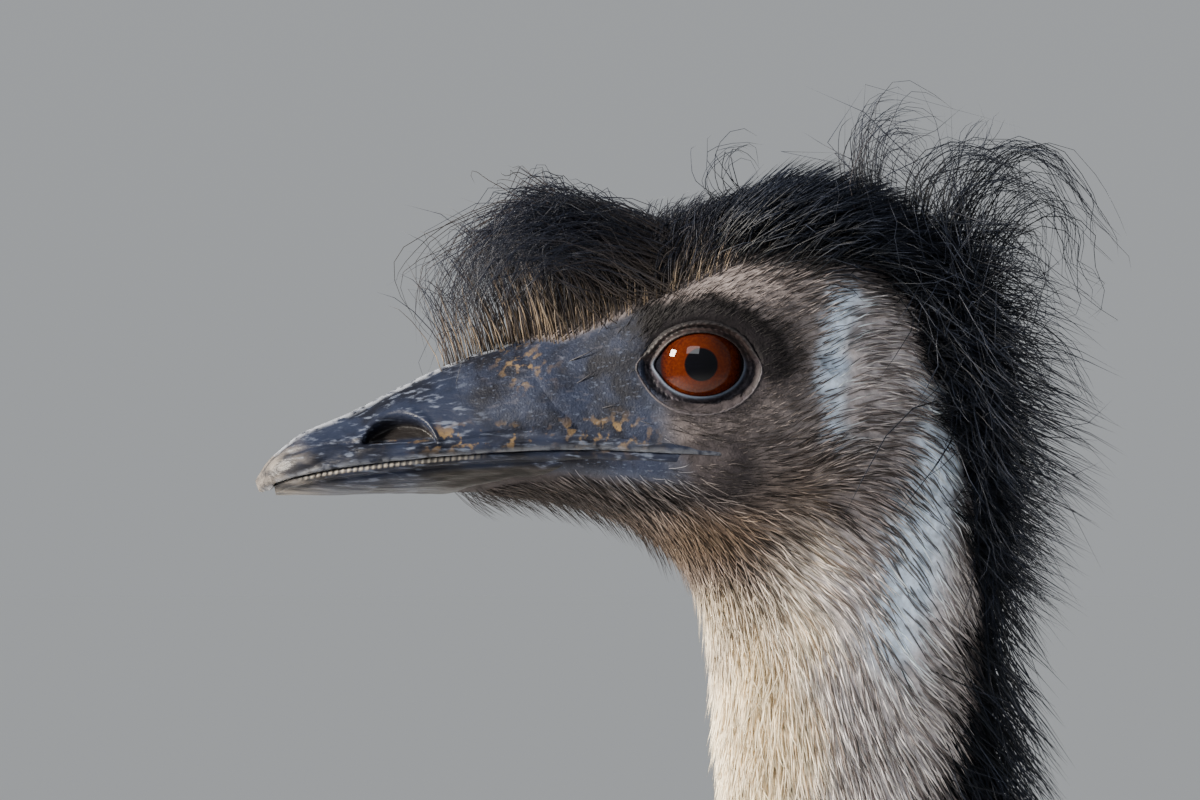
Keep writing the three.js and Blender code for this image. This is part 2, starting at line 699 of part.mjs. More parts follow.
// Thigh locks hang over the feathered part of the leg, down to the bare joint.
function thighLocks(side) {
  const sweep = new Sweep(LEG_STATIONS, side.y * LEG.y);
  const made = [];
  for (const [t, length, count] of [[2, 105, 3], [3.1, 72, 3]]) {
    for (let i = 0; i < count; i++) {
      const a = THREE.MathUtils.degToRad(lerp(100, -100, (i + 0.5) / count) + within(5));
      made.push(
        laid(sweep, t, onSide(a, side), {
          length: length * vary(0.1),
          wide: 50 * vary(0.1),
          thick: 4,
          rings: 3,
          sink: 5,
          rise: 8 * vary(0.3),
          lie: () => flow(0.22 + within(0.06), 0, -1),
          hangs: false,
        }),
      );
    }
  }
  return made;
}

// Toes point along -X from the ball before they are splayed
function toeSweep({ length, wide }) {
  const station = (share, top, half) => [-share * length, top, -share * length, -3, half * wide];
  return new Sweep([
    [14, 42, 14, -3, 17 * wide],
    station(0.05, 42, 18),
    station(0.3, 35, 16.5),
    station(0.6, 29, 15.5),
    station(0.85, 25, 14.5),
    station(0.98, 20, 12),
    [-length - 5, 13, -length - 4, -1, 6 * wide],
  ]);
}
const toeScutes = (toe) => ({ from: 1.2, to: 4.8, count: toe.scutes, rise: 1.3 });

function clawSweep({ length, wide }) {
  const at = (x, top, low, half) => [-length - x, top, -length - x, low, half * wide];
  return new Sweep([
    at(-7, 17, 4, 5.5),
    at(0, 18, 2.5, 6.6),
    at(12, 16, 1.6, 5.8),
    at(23, 10, 0.9, 3.6),
    at(31, 3.2, 0.7, 0.9),
  ]);
}

function placeToe(geometrySolid, toe, side) {
  const splay = THREE.MathUtils.degToRad(toe.splay * side.y);
  const matrix = new THREE.Matrix4()
    .makeTranslation(LEG.ballX, side.y * LEG.y, 0)
    .multiply(new THREE.Matrix4().makeRotationZ(splay));
  return geometrySolid.transform(matrix.elements);
}

// Wings: small and flat against the front of the flank, each with a row of thin drooping locks
const WING = { t: 24.2, angle: 14, long: 84, high: 26, deep: 13, droop: 34, proud: 4 };
function wingPlace(side) {
  const angle = THREE.MathUtils.degToRad(side.y > 0 ? WING.angle : 180 - WING.angle);
  const at = body.point(WING.t, angle, coreInset(WING.t) + WING.proud);
  const ahead = body.point(WING.t + 0.5, angle).sub(body.point(WING.t - 0.5, angle)).normalize();
  return new THREE.Matrix4()
    .makeTranslation(at.x, at.y, at.z)
    .multiply(new THREE.Matrix4().makeRotationZ(Math.atan2(ahead.y, ahead.x)))
    .multiply(new THREE.Matrix4().makeRotationY(THREE.MathUtils.degToRad(WING.droop)));
}
function wing(side, grow = 0) {
  const size = new THREE.Matrix4().makeScale(WING.long + grow, WING.deep + grow, WING.high + grow);
  return solidOf(new THREE.SphereGeometry(1, 10, 7).applyMatrix4(wingPlace(side).multiply(size)));
}
function wingLocks(side) {
  const made = [];
  const place = wingPlace(side);
  const outward = new THREE.Vector3(0, side.y, 0);
  const count = 5;
  for (let i = 0; i < count; i++) {
    const x = lerp(-56, 66, i / (count - 1));
    const line = new THREE.CubicBezierCurve3(
      new THREE.Vector3(x, 0, -6).applyMatrix4(place),
      new THREE.Vector3(x + 14, side.y * 14, -22).applyMatrix4(place),
      new THREE.Vector3(x + 46, side.y * 20, -60 * vary(0.1)).applyMatrix4(place),
      new THREE.Vector3(x + 86 * vary(0.1), side.y * 20, -96 * vary(0.1)).applyMatrix4(place),
    );
    made.push(lock(line, () => outward, { wide: 44 * vary(0.1), thick: 3, rings: 4 }));
  }
  return made;
}

// Torso and tail
const BODY_LOCK = { length: 225, wide: 112, thick: 5, rings: 4 };
const BREAST = { from: 22.6, to: 23.8, rows: 2, high: 86, low: -88, pitch: 108, stray: 0.06 };
const FLANK = { from: 24.6, to: 27.9, rows: 5, high: 88, low: -38, pitch: 122, stray: 0.08 };
const RUMP = { from: 28.8, to: 29.8, rows: 2, high: 86, low: -62, pitch: 96, stray: 0.06 };
const torsoLocks = [...coat(body, BREAST, BODY_LOCK, bodyLie), ...coat(body, FLANK, BODY_LOCK, bodyLie)];
const tailLocks = coat(body, RUMP, { ...BODY_LOCK, length: 170, wide: 66, thick: 4 }, bodyLie);

const legs = SIDES.map((side) => leg(side));
const legSpaces = SIDES.map((side) => leg(side, GAP));
const thighSets = SIDES.map((side) => thighLocks(side));
const wingSets = SIDES.map((side) => wingLocks(side));
const wingSpaces = SIDES.map((side, i) => wing(side, GAP).add(spaceOf(wingSets[i])));
const besideWings = torsoLocks.filter(({ solid }) =>
  wingSpaces.every((space) => solid.intersect(space).isEmpty()),
);

let torso = stretch(rear, body, CUT.neckBase, CUT.rump);
for (const side of SIDES) torso = torso.subtract(wing(side, GAP));
const torsoObstacles = [
  spaceOf(lowerLocks),
  before(rearGrown, CUT.neckBase),
  beyond(rearGrown, CUT.rump),
  ...legSpaces,
  ...thighSets.map(spaceOf),
];
add("torso", largest(torso.add(clearOf(besideWings, torsoObstacles))), MATERIALS.feather);
const tailObstacles = [spaceOf(besideWings), before(rearGrown, CUT.rump), ...legSpaces];
const tail = stretch(rear, body, CUT.rump, null).add(clearOf(tailLocks, tailObstacles));
add("tail", largest(tail), MATERIALS.feather);
SIDES.forEach((side, i) => {
  const made = wing(side).add(clearOf(wingSets[i], [rearGrown, spaceOf(lowerLocks)]));
  add(`wing_${side.name}`, largest(made), MATERIALS.feather);
});

const floorTrim = (solid) => solid.trimByPlane([0, 0, 1], 0);

SIDES.forEach((side, i) => {
  const limb = legs[i].subtract(rearGrown);
  const up = [0, 0, 1];
  const down = [0, 0, -1];
  const thigh = limb.trimByPlane(up, LEG.feathersEnd + GAP / 2);
  const below = legSpaces[i].trimByPlane(down, -LEG.feathersEnd - GAP / 2);
  const hanging = clearOf(thighSets[i], [rearGrown, below]);
  add(`thigh_${side.name}`, largest(thigh.add(hanging)), MATERIALS.feather);
  const shank = limb.trimByPlane(down, -LEG.feathersEnd + GAP / 2).trimByPlane(up, LEG.ankle + GAP / 2);
  add(`shank_${side.name}`, largest(shank), MATERIALS.scale);
  let foot = limb.trimByPlane(down, -LEG.ankle + GAP / 2);
  const claws = [];
  for (const toe of TOES) {
    const scutes = toeScutes(toe);
    const grid = { rings: [0, 0.7, ...scuteRings(scutes), 5.3, 6], around: 8, relief: scuteRelief(scutes) };
    foot = foot.add(placeToe(toeSweep(toe).solid(grid), toe, side));
    const clawGrid = { rings: steps(0, 4, 5), around: 6 };
    claws.push([toe, placeToe(clawSweep(toe).solid(clawGrid), toe, side)]);
    foot = foot.subtract(placeToe(clawSweep(toe).solid({ ...clawGrid, offset: GAP }), toe, side));
  }
  add(`foot_${side.name}`, largest(floorTrim(foot).trimByPlane(down, -LEG.ankle + GAP / 2)), MATERIALS.scale);
  for (const [toe, claw] of claws) add(`claw_${toe.name}_${side.name}`, claw, MATERIALS.claw);
});

export default group;
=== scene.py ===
"""The looks of a standing emu, life size: skin, plumage, bill, eyes, legs and claws.

Shapes are worked out in millimetres, in the same frame as the solids, and become metres where a mesh is made.
The bird faces -X and its left side faces -Y.
"""

import functools
import itertools
import math

import bpy
import numpy as np
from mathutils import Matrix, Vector
from mathutils.kdtree import KDTree


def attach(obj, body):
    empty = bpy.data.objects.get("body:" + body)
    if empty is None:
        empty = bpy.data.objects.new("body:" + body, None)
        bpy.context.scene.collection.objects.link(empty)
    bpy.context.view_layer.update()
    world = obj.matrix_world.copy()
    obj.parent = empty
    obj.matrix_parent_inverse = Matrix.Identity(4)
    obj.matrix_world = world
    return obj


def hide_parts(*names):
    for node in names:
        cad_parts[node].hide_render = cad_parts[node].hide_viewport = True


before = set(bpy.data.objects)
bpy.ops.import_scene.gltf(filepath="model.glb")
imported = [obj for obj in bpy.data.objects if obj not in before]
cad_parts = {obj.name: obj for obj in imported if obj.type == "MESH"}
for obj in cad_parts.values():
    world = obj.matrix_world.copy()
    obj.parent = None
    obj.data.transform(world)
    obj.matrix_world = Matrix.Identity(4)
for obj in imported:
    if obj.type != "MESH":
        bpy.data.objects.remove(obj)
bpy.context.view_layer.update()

MM = 0.001
SIDES = {"left": -1, "right": 1}

# Driving sizes, as in the solids
EYE = {"x": -342, "z": 1600}
LEG = {"y": 92, "ball": 60}
TOES = {
    "middle": {"length": 130, "splay": 2, "wide": 1.0, "scutes": 11},
    "inner": {"length": 84, "splay": 30, "wide": 0.86, "scutes": 7},
    "outer": {"length": 92, "splay": -27, "wide": 0.9, "scutes": 8},
}

# The photograph's frame, 1200 by 800 pixels, at the head
PIXEL = 0.22
EYE_PIXEL = (700, 365)
IMAGE = (1200, 800)
CAMERA_FAR = 2500
SENSOR = 36


def head(upper_x, upper_z, lower_x, lower_z, *rest):
    """A station of the head, given from the eye."""
    return (EYE["x"] + upper_x, EYE["z"] + upper_z, EYE["x"] + lower_x, EYE["z"] + lower_z, *rest)


# Stations count from the bill's tip: the head ends near 13, the neck near 21 and the rump at 31
BODY_STATIONS = [
    head(-97.8, -25.5, -97, -27.8, 1.2, 0, 2, 0),
    head(-94.5, -20.5, -93.5, -28.6, 5.2, 0, 2, 0.1),
    head(-88, -15.6, -87.5, -29, 9, 0, 2, 0.2),
    head(-77, -11, -77, -29, 12.3, 0, 2, 0.3),
    head(-62, -3.2, -62, -28.6, 15, 0, 2, 0.35),
    head(-50, 1.6, -49, -28, 17, 0, 2, 0.3),
    head(-40, 5.5, -37, -28.8, 19.5, 1, 2, 0.2),
    head(-24, 16.5, -25, -31.5, 23.5, 1.5, 2.1, 0.15),
    head(-6, 28, -14, -36.5, 28, 2, 2.2, 0.1),
    head(15, 34.5, -6, -43, 30.5, 2, 2.3, 0.05),
    head(35, 33, -1.5, -50.5, 31, 2.5, 2.3),
    head(49, 23.5, 0.5, -58, 29.5, 3),
    head(57, 8, 2, -66, 28, 3),
    head(61, -12, 3.2, -75, 27.5, 3),
    head(64, -36, 4, -87, 27.5, 3),
    head(66, -64, 5, -103, 28, 4),
    head(68.5, -96, 6, -122, 29, 5),
    (-268, 1440, -334, 1425, 31, 6),
    (-264, 1370, -336, 1360, 35, 9),
    (-258, 1290, -345, 1278, 42, 13),
    (-247, 1210, -357, 1190, 53, 19),
    (-225, 1135, -371, 1097, 70, 27),
    (-185, 1082, -390, 1000, 96, 36),
    (-110, 1062, -400, 900, 134, 46),
    (-20, 1068, -370, 795, 175, 54),
    (80, 1074, -265, 705, 205, 56),
    (180, 1062, -105, 655, 218, 56),
    (270, 1030, 60, 640, 220, 54),
    (338, 978, 202, 645, 203, 48),
    (382, 905, 308, 660, 166, 40),
    (402, 830, 370, 700, 110, 28),
    (405, 775, 398, 745, 20, 6),
]
LEG_STATIONS = [
    (-95, 760, 70, 800, 58),
    (-88, 690, 92, 722, 62),
    (-58, 620, 112, 642, 56),
    (-16, 562, 126, 578, 44),
    (34, 510, 134, 524, 33),
    (68, 474, 139, 481, 27.5),
    (83, 446, 143, 442, 27.5),
    (90, 418, 139, 410, 24),
    (91, 378, 130, 370, 19.5),
    (83, 300, 118, 296, 17.5),
    (71, 200, 104, 197, 16.5),
    (59, 110, 92, 108, 17.5),
    (45, 62, 84, 58, 21),
    (32, 32, 86, 30, 25),
    (38, -3, 80, -3, 22),
]


# Arithmetic
def smooth(x, low, high):
    """0 at low and 1 at high, with soft ends. Low may be the larger of the two."""
    share = np.clip((np.asarray(x, float) - low) / (high - low), 0, 1)
    return share * share * (3 - 2 * share)


def lerp(a, b, share):
    return a + (b - a) * share


def unit(vectors):
    return vectors / np.maximum(np.linalg.norm(vectors, axis=-1, keepdims=True), 1e-9)


def vec(*parts):
    """Vectors from their parts, each a number or an array."""
    return np.stack(np.broadcast_arrays(*parts), axis=-1)


def ramp(steps):
    """0 to 1 in even steps, as one row."""
    return np.linspace(0, 1, steps)[None, :]


def dot(a, b):
    return np.sum(a * b, axis=-1)


def bump(x, z, at_x, at_z, long, high):
    """A rounded rise in side view, 1 at its middle."""
    return np.exp(-(((x - at_x) / long) ** 2) - ((z - at_z) / high) ** 2)


def peak(x, wide):
    """1 where x is 0, falling off over a width."""
    return np.exp(-((x / wide) ** 2))


def noise(points, size, seed):
    """Smooth noise between -1 and 1, with features of about the given size."""
    q = points / size + seed * 17.31
    cell = np.floor(q).astype(np.int64)
    f = q - cell
    f = f * f * (3 - 2 * f)
    total = np.zeros(points.shape[:-1])
    for corner in itertools.product((0, 1), repeat=3):
        c = cell + corner
        mixed = (c[..., 0] * 374761393 + c[..., 1] * 668265263 + c[..., 2] * 2246822519) & 0xFFFFFFFF
        mixed = ((mixed ^ (mixed >> 13)) * 1274126177) & 0xFFFFFFFF
        value = (mixed ^ (mixed >> 16)) / 2.0**31 - 1
        total += value * np.prod(np.where(corner, f, 1 - f), axis=-1)
    return total


def to_line(x, z, line):
    """The distance from points to a line of points in side view, less than 0 to the right of its way."""
    best = np.full(np.shape(x), np.inf)
    side = np.ones(np.shape(x))
    for (ax, az), (bx, bz) in zip(line, line[1:]):
        ux, uz = bx - ax, bz - az
        share = np.clip(((x - ax) * ux + (z - az) * uz) / (ux * ux + uz * uz), 0, 1)
        dx, dz = x - ax - share * ux, z - az - share * uz
        far = np.hypot(dx, dz)
        nearer = far < best
        side = np.where(nearer, np.sign(ux * dz - uz * dx), side)
        best = np.where(nearer, far, best)
    return best * side


def spline(points, count):
    """An even run of points on a smooth curve through the given ones, the second axis being the way along."""
    points = np.asarray(points, float)
    last = points.shape[1] - 1
    padded = np.concatenate(
        [2 * points[:, :1] - points[:, 1:2], points, 2 * points[:, -1:] - points[:, -2:-1]], axis=1
    )
    at = np.linspace(0, last, count)
    i = np.minimum(at.astype(int), last - 1)
    return hermite(*(padded[:, i + k] for k in range(4)), (at - i)[None, :, None])


def hermite(p0, p1, p2, p3, f):
    """The Catmull-Rom curve between p1 and p2."""
    m1 = (p2 - p0) / 2
    m2 = (p3 - p1) / 2
    return p1 + m1 * f + (3 * (p2 - p1) - 2 * m1 - m2) * f**2 + (2 * (p1 - p2) + m1 + m2) * f**3


class Sweep:
    """A closed tube between an upper and a lower line in a plane of constant y.

    A station is upper x, upper z, lower x, lower z, half width, coat depth, squareness and top narrowing.
    """

    FALLBACK = (0, 0, 0, 0, 0, 0, 2.2, 0)
    LEAST = 0.05
    STEP = 0.03

    def __init__(self, stations, y=0.0):
        rows = np.array([tuple(s) + self.FALLBACK[len(s):] for s in stations], float)
        self.rows = np.vstack([2 * rows[0] - rows[1], rows, 2 * rows[-1] - rows[-2]])
        self.last = len(rows) - 1
        self.y = y

    def at(self, t):
        t = np.clip(np.asarray(t, float), 0, self.last)
        i = np.minimum(t.astype(int), self.last - 1)
        return hermite(*(self.rows[i + k] for k in range(4)), (t - i)[..., None])

    def point(self, t, a, offset=0.0):
        """The surface at station t and angle a, let out by an offset. The upper line is at 90 degrees."""
        up_x, up_z, low_x, low_z, wide, _, square, narrow = np.moveaxis(self.at(t), -1, 0)
        across_x, across_z = up_x - low_x, up_z - low_z
        length = np.hypot(across_x, across_z)
        half = np.maximum(length / 2 + offset, self.LEAST)
        wide = np.maximum(wide + offset, self.LEAST)
        c, s = (np.sign(wave) * np.abs(wave) ** (2 / square) for wave in (np.cos(a), np.sin(a)))
        x = (up_x + low_x) / 2 + across_x / length * half * s
        z = (up_z + low_z) / 2 + across_z / length * half * s
        return vec(x, self.y + wide * c * (1 - narrow * s), z)

    def basis(self, t, a):
        """How the surface point moves with t and with a, and the normal that points outwards."""
        step = self.STEP
        along = (self.point(t + step, a) - self.point(t - step, a)) / (2 * step)
        around = (self.point(t, a + step) - self.point(t, a - step)) / (2 * step)
        normal = unit(np.cross(along, around))
        here = self.point(t, a)
        middle = (here + self.point(t, a + math.pi)) / 2
        return along, around, normal * np.sign(dot(normal, here - middle))[..., None]


body = Sweep(BODY_STATIONS)
legs = {name: Sweep(LEG_STATIONS, side * LEG["y"]) for name, side in SIDES.items()}

# The skin's own shape: how far it lies inside the outline, and the head's rises and hollows
LIDS = {"long": 9.3, "high": 6.9, "wide": 5.0, "upper": 0.68}
PIT = {"deep": 7.0, "edge": (1.42, 1.12)}
EAR = {"x": 30, "z": 2, "long": 4.2, "high": 3.0}
HEAD_FORMS = {
    "socket": (-1.8, 0, 0, 11, 9),
    "brow": (2.6, 1, 13, 17, 5),
    "cheek": (2.0, 22, -20, 20, 14),
    "lore": (-1.2, -24, -4, 12, 9),
    "jaw": (0.8, -4, -25, 16, 3),
}


def from_eye(p):
    return p[..., 0] - EYE["x"], p[..., 2] - EYE["z"]


def opening(p):
    """How far a place is out from the middle of the eye's opening, 1 being its edge."""
    x, z = from_eye(p)
    return np.hypot(x / LIDS["long"], z / LIDS["high"])


def head_relief(p):
    x, z = from_eye(p)
    forms = sum(height * bump(x, z, *place) for height, *place in HEAD_FORMS.values())
    pit = -PIT["deep"] * smooth(opening(p), *PIT["edge"])
    ear = -2.4 * smooth(np.hypot((x - EAR["x"]) / EAR["long"], (z - EAR["z"]) / EAR["high"]), 1.1, 0.5)
    return (forms + pit + ear) * smooth(np.abs(p[..., 1]), 5, 9)


MOUTH = spline(
    [[(-125, -38), (-97, -28.4), (-92, -25.6), (-77, -22.4), (-55, -20), (-30, -18.7), (4.4, -19.6)]], 80
)[0]
GAPE = {"x": 4.0, "from": -45, "wide": (3.4, 0.9)}
BILL_EDGE = ((-30, -27, -24, -20, -17, -10, -2, 6, 14), (-60, -51, -35, -26, -23, -31, -37.5, -40.5, -42))


def mouth_height(x):
    """The mouth line's height from the eye, in side view."""
    return np.interp(x, MOUTH[:, 0], MOUTH[:, 1])


def behind_bill(p):
    """How far a place lies behind the bill's base. A band of the bill narrows backwards along the mouth."""
    x, z = from_eye(p)
    along = np.clip(x, GAPE["from"], GAPE["x"])
    wide = np.interp(along, (GAPE["from"], GAPE["x"]), GAPE["wide"])
    band = np.hypot(x - along, z - mouth_height(along)) - wide
    return np.minimum(x - np.interp(z, *BILL_EDGE) + noise(p, 5, 9), band)


def skin_offset(t, a):
    """How far the skin lies out from the sweep: in by the coat's depth, with the head's relief."""
    p = body.point(t, a)
    relief = np.where(t < 15, head_relief(p), 0)
    folds = 0.35 * noise(p, 7, 1) * smooth(t, 10.5, 12) + 3 * noise(p, 60, 2) * smooth(t, 20, 23)
    depth = body.at(t)[..., 5] * np.where(t < 11.5, smooth(behind_bill(p), 0, 14), 1)
    return relief + folds - depth


def skin_point(t, a, rise=0.0):
    return body.point(t, a, skin_offset(t, a) + rise)


# Meshes
def mesh_object(name, vertices, faces, material, marks=None, corners=None):
    """A smooth object from vertices in millimetres and faces, with marks at its vertices and its unwrap."""
    faces = np.asarray(faces, np.int64)
    mesh = bpy.data.meshes.new(name)
    mesh.vertices.add(len(vertices))
    mesh.vertices.foreach_set("co", np.asarray(vertices, np.float32).ravel() * MM)
    mesh.loops.add(faces.size)
    mesh.loops.foreach_set("vertex_index", faces.ravel().astype(np.int32))
    mesh.polygons.add(len(faces))
    mesh.polygons.foreach_set("loop_start", np.arange(0, faces.size, faces.shape[1], dtype=np.int32))
    mesh.update(calc_edges=True)
    for key, values in (marks or {}).items():
        layer = mesh.attributes.new(key, "FLOAT", "POINT")
        layer.data.foreach_set("value", np.ravel(values).astype(np.float32))
    if corners is not None:
        layer = mesh.uv_layers.new(name="OFBake")
        layer.uv.foreach_set("vector", corners.astype(np.float32).ravel())
    mesh.shade_smooth()
    mesh.materials.append(material)
    obj = bpy.data.objects.new(name, mesh)
    bpy.context.scene.collection.objects.link(obj)
    return obj


def finish_piece(obj, slot, *nodes):
    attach(obj, "root")
    if nodes:
        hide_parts(*nodes)


def ring_grid(stations, around):
    """The station and the angle of each vertex of a run of rings."""
    return np.meshgrid(stations, np.linspace(-math.pi, math.pi, around, endpoint=False), indexing="ij")


def with_ends(values, first=0.0, last=0.0):
    """A value for each vertex of a run of rings, and then for the middles of its two ends."""
    return np.append(np.ravel(values), [first, last])


def band_quads(i, j, after_i, after_j, around):
    """Quads between ring i and the ring after it, from corner j to the corner after it."""
    corners = [i * around + j, i * around + after_j, after_i * around + after_j, after_i * around + j]
    return np.stack(np.broadcast_arrays(*corners), axis=-1).reshape(-1, 4)


def triangles(quads):
    return np.vstack([quads[:, [0, 1, 2]], quads[:, [0, 2, 3]]])


def closed_tube(grid):
    """Vertices and outward triangles of a tube from a grid of rings, with flat ends."""
    rings, around = grid.shape[:2]
    vertices = np.vstack([grid.reshape(-1, 3), grid[0].mean(axis=0), grid[-1].mean(axis=0)])
    i, j = np.arange(rings - 1)[:, None], np.arange(around)[None, :]
    sides = triangles(band_quads(i, j, i + 1, (j + 1) % around, around))
    caps = []
    for k in range(around):
        after = (k + 1) % around
        last = (rings - 1) * around
        caps += [[rings * around, after, k], [rings * around + 1, last + k, last + after]]
    return vertices, outward(vertices, np.vstack([sides, caps]))


def outward(vertices, faces):
    """The faces, turned over if they enclose a negative volume."""
    a, b, c = (vertices[faces[:, k]] for k in range(3))
    return faces[:, ::-1] if np.sum(dot(a, np.cross(b, c))) < 0 else faces


def even_stations(sweep, start, end, spacing):
    """Stations from start to end whose rings are about a spacing apart on the longer of the two lines."""
    fine = np.linspace(start, end, 4000)
    change = np.diff(sweep.at(fine), axis=0)
    step = np.maximum(np.hypot(change[:, 0], change[:, 1]), np.hypot(change[:, 2], change[:, 3]))
    run = np.concatenate([[0], np.cumsum(step / spacing(fine[:-1]))])
    return np.interp(np.linspace(0, run[-1], int(run[-1]) + 2), run, fine)


# Markings: shares between 0 and 1 that the skin and the coat both take, in side view from the eye
NAPE_LINE = [
    (-60, 40), (-22, 30), (0, 25), (13, 23), (26, 23), (37, 22), (44, 16.5), (49.5, 7.7), (54, -3.3),
    (57, -16.5), (60, -30), (61, -43), (59, -60), (55, -74), (51, -87), (49, -100), (48, -130), (46, -170),
    (46, -230), (60, -310), (90, -400),
]
FOREHEAD = [
    (-57, -2.5), (-50, 0.8), (-43, 2.6), (-38, 4.2), (-30, 3.6), (-17, 8.5), (-4, 15.5), (9, 20), (20, 23),
]
BROW_LINE = [
    (-18, 3.5), (-14.5, 6.5), (-10.5, 9.4), (-4.5, 11.2), (2.2, 10.9), (8.8, 8.7), (14.3, 4.6), (16.3, 0),
]
BLUE_LINES = [
    ([(31, 14), (29, 5), (28, -5), (29, -14)], 5.4),
    ([(55, 0), (53, -16), (49, -30), (45, -44), (42, -60)], 10.5),
]
STREAK = 4.0
MARKS = ("lilac", "cream", "brown", "blue", "dusk", "bare", "brow", "black", "body")


def above_forehead(p):
    """The height above the line where the forehead's feathers begin."""
    x, z = from_eye(p)
    return z - np.interp(x, *zip(*FOREHEAD))


def markings(t, a, p):
    """The share of each colour at a place, each between 0 and 1."""
    x, z = from_eye(p)
    back = np.sin(a)
    neck = smooth(t, 10.5, 12.5)
    wander = STREAK * noise(p, 9, 5)
    fine = noise(p, 2.6, 6)
    black = smooth(to_line(x, z, NAPE_LINE) + wander + 2.5 * fine, -6, 5)
    black = np.maximum(black, smooth(back, 0.86, 0.97) * neck) * smooth(x, -62, -40)
    cream = smooth(back + wander * 0.06, 0.05, -0.8) * neck * (1 - 0.75 * smooth(t, 18.5, 21.5))
    cream = np.maximum(cream, 0.75 * smooth(z, -43, -52) * smooth(x, 18, 4) * (1 - neck))
    blue = [0.5 * smooth(t, 15.5, 18) * smooth(t, 21.5, 19.5) * smooth(np.abs(back - 0.15), 0.55, 0.2)]
    for line, wide in BLUE_LINES:
        blue.append(smooth(np.abs(to_line(x, z, line)) + wander * 0.5 + fine, wide, wide * 0.2))
    lilac = smooth(z + wander, -28, -46) * smooth(x, 4, 20) + 0.85 * bump(x, z, 44, 0, 17, 20)
    brown = [bump(x, z, 0, -37, 27, 10), 0.85 * bump(x, z, 26, -30, 17, 9), 0.8 * bump(x, z, -34, -30, 26, 5)]
    dusk = [
        bump(x, z, 18, 0, 8, 15), 0.9 * bump(x, z, -12, 0, 8, 10), 0.85 * bump(x, z, 2, -13, 20, 9),
        smooth(opening(p) + 0.03 * wander, 2.3, 1.7),
        smooth(np.hypot(x - 4, (z + 22) * 1.3) + wander, 15, 7),
        smooth(np.abs(z + 26) + 0.3 * wander, 6.5, 3) * smooth(x, 12, 2),
    ]
    bare = smooth(x + 0.3 * z + 0.4 * wander, -8, -17) * smooth(above_forehead(p), 2.5, 0.5)
    bare = bare * smooth(z + 0.1 * x, -28, -24)
    feathered = smooth(t, 19.5, 23)
    head_and_neck = 1 - feathered
    return {
        "lilac": np.clip(lilac, 0, 1) * head_and_neck * (1 - black),
        "cream": cream * head_and_neck * (1 - black),
        "blue": np.maximum.reduce(blue) * head_and_neck * (1 - black),
        "brown": np.maximum.reduce(brown) * (1 - neck) * head_and_neck,
        "dusk": np.maximum.reduce(dusk),
        "bare": bare,
        "brow": smooth(np.abs(to_line(x, z, BROW_LINE)) + wander * 0.25, 4.8, 2.8) * head_and_neck,
        "black": black * head_and_neck,
        "body": feathered,
    }


def crusted(p):
    """Where the bare skin and the bill carry ochre crusts."""
    x, z = from_eye(p)
    return np.maximum.reduce(
        [bump(x, z, -20, -15, 8, 3), 0.6 * bump(x, z, -38, 0, 5, 4), bump(x, z, -50, -16, 13, 2.2)]
    )


# The unwrap of the skin: the body's sweep on the left, the legs and toes in a column on the right
BODY_MAP = {"u": 0.01, "wide": 0.70, "t": (0, 3, 13, 20, 31), "v": (0.01, 0.02, 0.44, 0.68, 0.98)}
LEG_MAP = {"left": 0.73, "right": 0.87, "wide": 0.11, "leg": (0.02, 0.55)}
TOE_MAP = {"middle": (0.57, 0.69), "inner": (0.71, 0.83), "outer": (0.85, 0.97)}
PATCH = 0.003


def turned(a, start=0.0):
    """The share of a whole turn at an angle."""
    return (np.asarray(a) / (2 * math.pi) + start) % 1


def body_map(t, a):
    return vec(BODY_MAP["u"] + BODY_MAP["wide"] * turned(a, 0.25), np.interp(t, BODY_MAP["t"], BODY_MAP["v"]))


def leg_map(side, t, a, last, low, high):
    return vec(LEG_MAP[side] + LEG_MAP["wide"] * turned(a), lerp(low, high, np.asarray(t) / last))


# Strands: closed three-sided tapered tubes, each with a root cap and a pointed tip
def strand_mesh(paths, normals, width, thick, taper):
    """Vertices and triangles of strands, and how many vertices one has, from (strands, steps, 3) arrays."""
    count, steps, _ = paths.shape
    ahead = unit(np.gradient(paths, axis=1))
    across = unit(np.cross(ahead, normals))
    size = taper[None, :, None]
    half = across * (width[:, None, None] / 2) * size
    rise = np.cross(across, ahead) * (thick[:, None, None]) * size
    rings = np.stack([paths - half, paths + half, paths + rise], axis=2)[:, :-1]
    vertices = np.concatenate([rings.reshape(count, -1, 3), paths[:, -1:]], axis=1)
    per = vertices.shape[1]
    faces = [[0, 2, 1]]
    for k in range(0, 3 * (steps - 2), 3):
        for i, n in ((k, k + 1), (k + 1, k + 2), (k + 2, k)):
            faces += [[i, n, n + 3], [i, n + 3, i + 3]]
    faces += [[per - 4, per - 3, per - 1], [per - 3, per - 2, per - 1], [per - 2, per - 4, per - 1]]
    faces = outward(vertices[0], np.array(faces)) + per * np.arange(count)[:, None, None]
    return vertices.reshape(-1, 3), faces.reshape(-1, 3), per


def taper_of(steps, root=0.6, widest=0.25, tip=0.25):
    """The share of the full width at each step of a strand."""
    s = np.linspace(0, 1, steps)
    swelling = lerp(root, 1, np.clip(s / widest, 0, 1))
    return swelling * lerp(1, tip, np.clip((s - widest) / (1 - widest), 0, 1) ** 1.4)


PIECE_LIMIT = 190_000


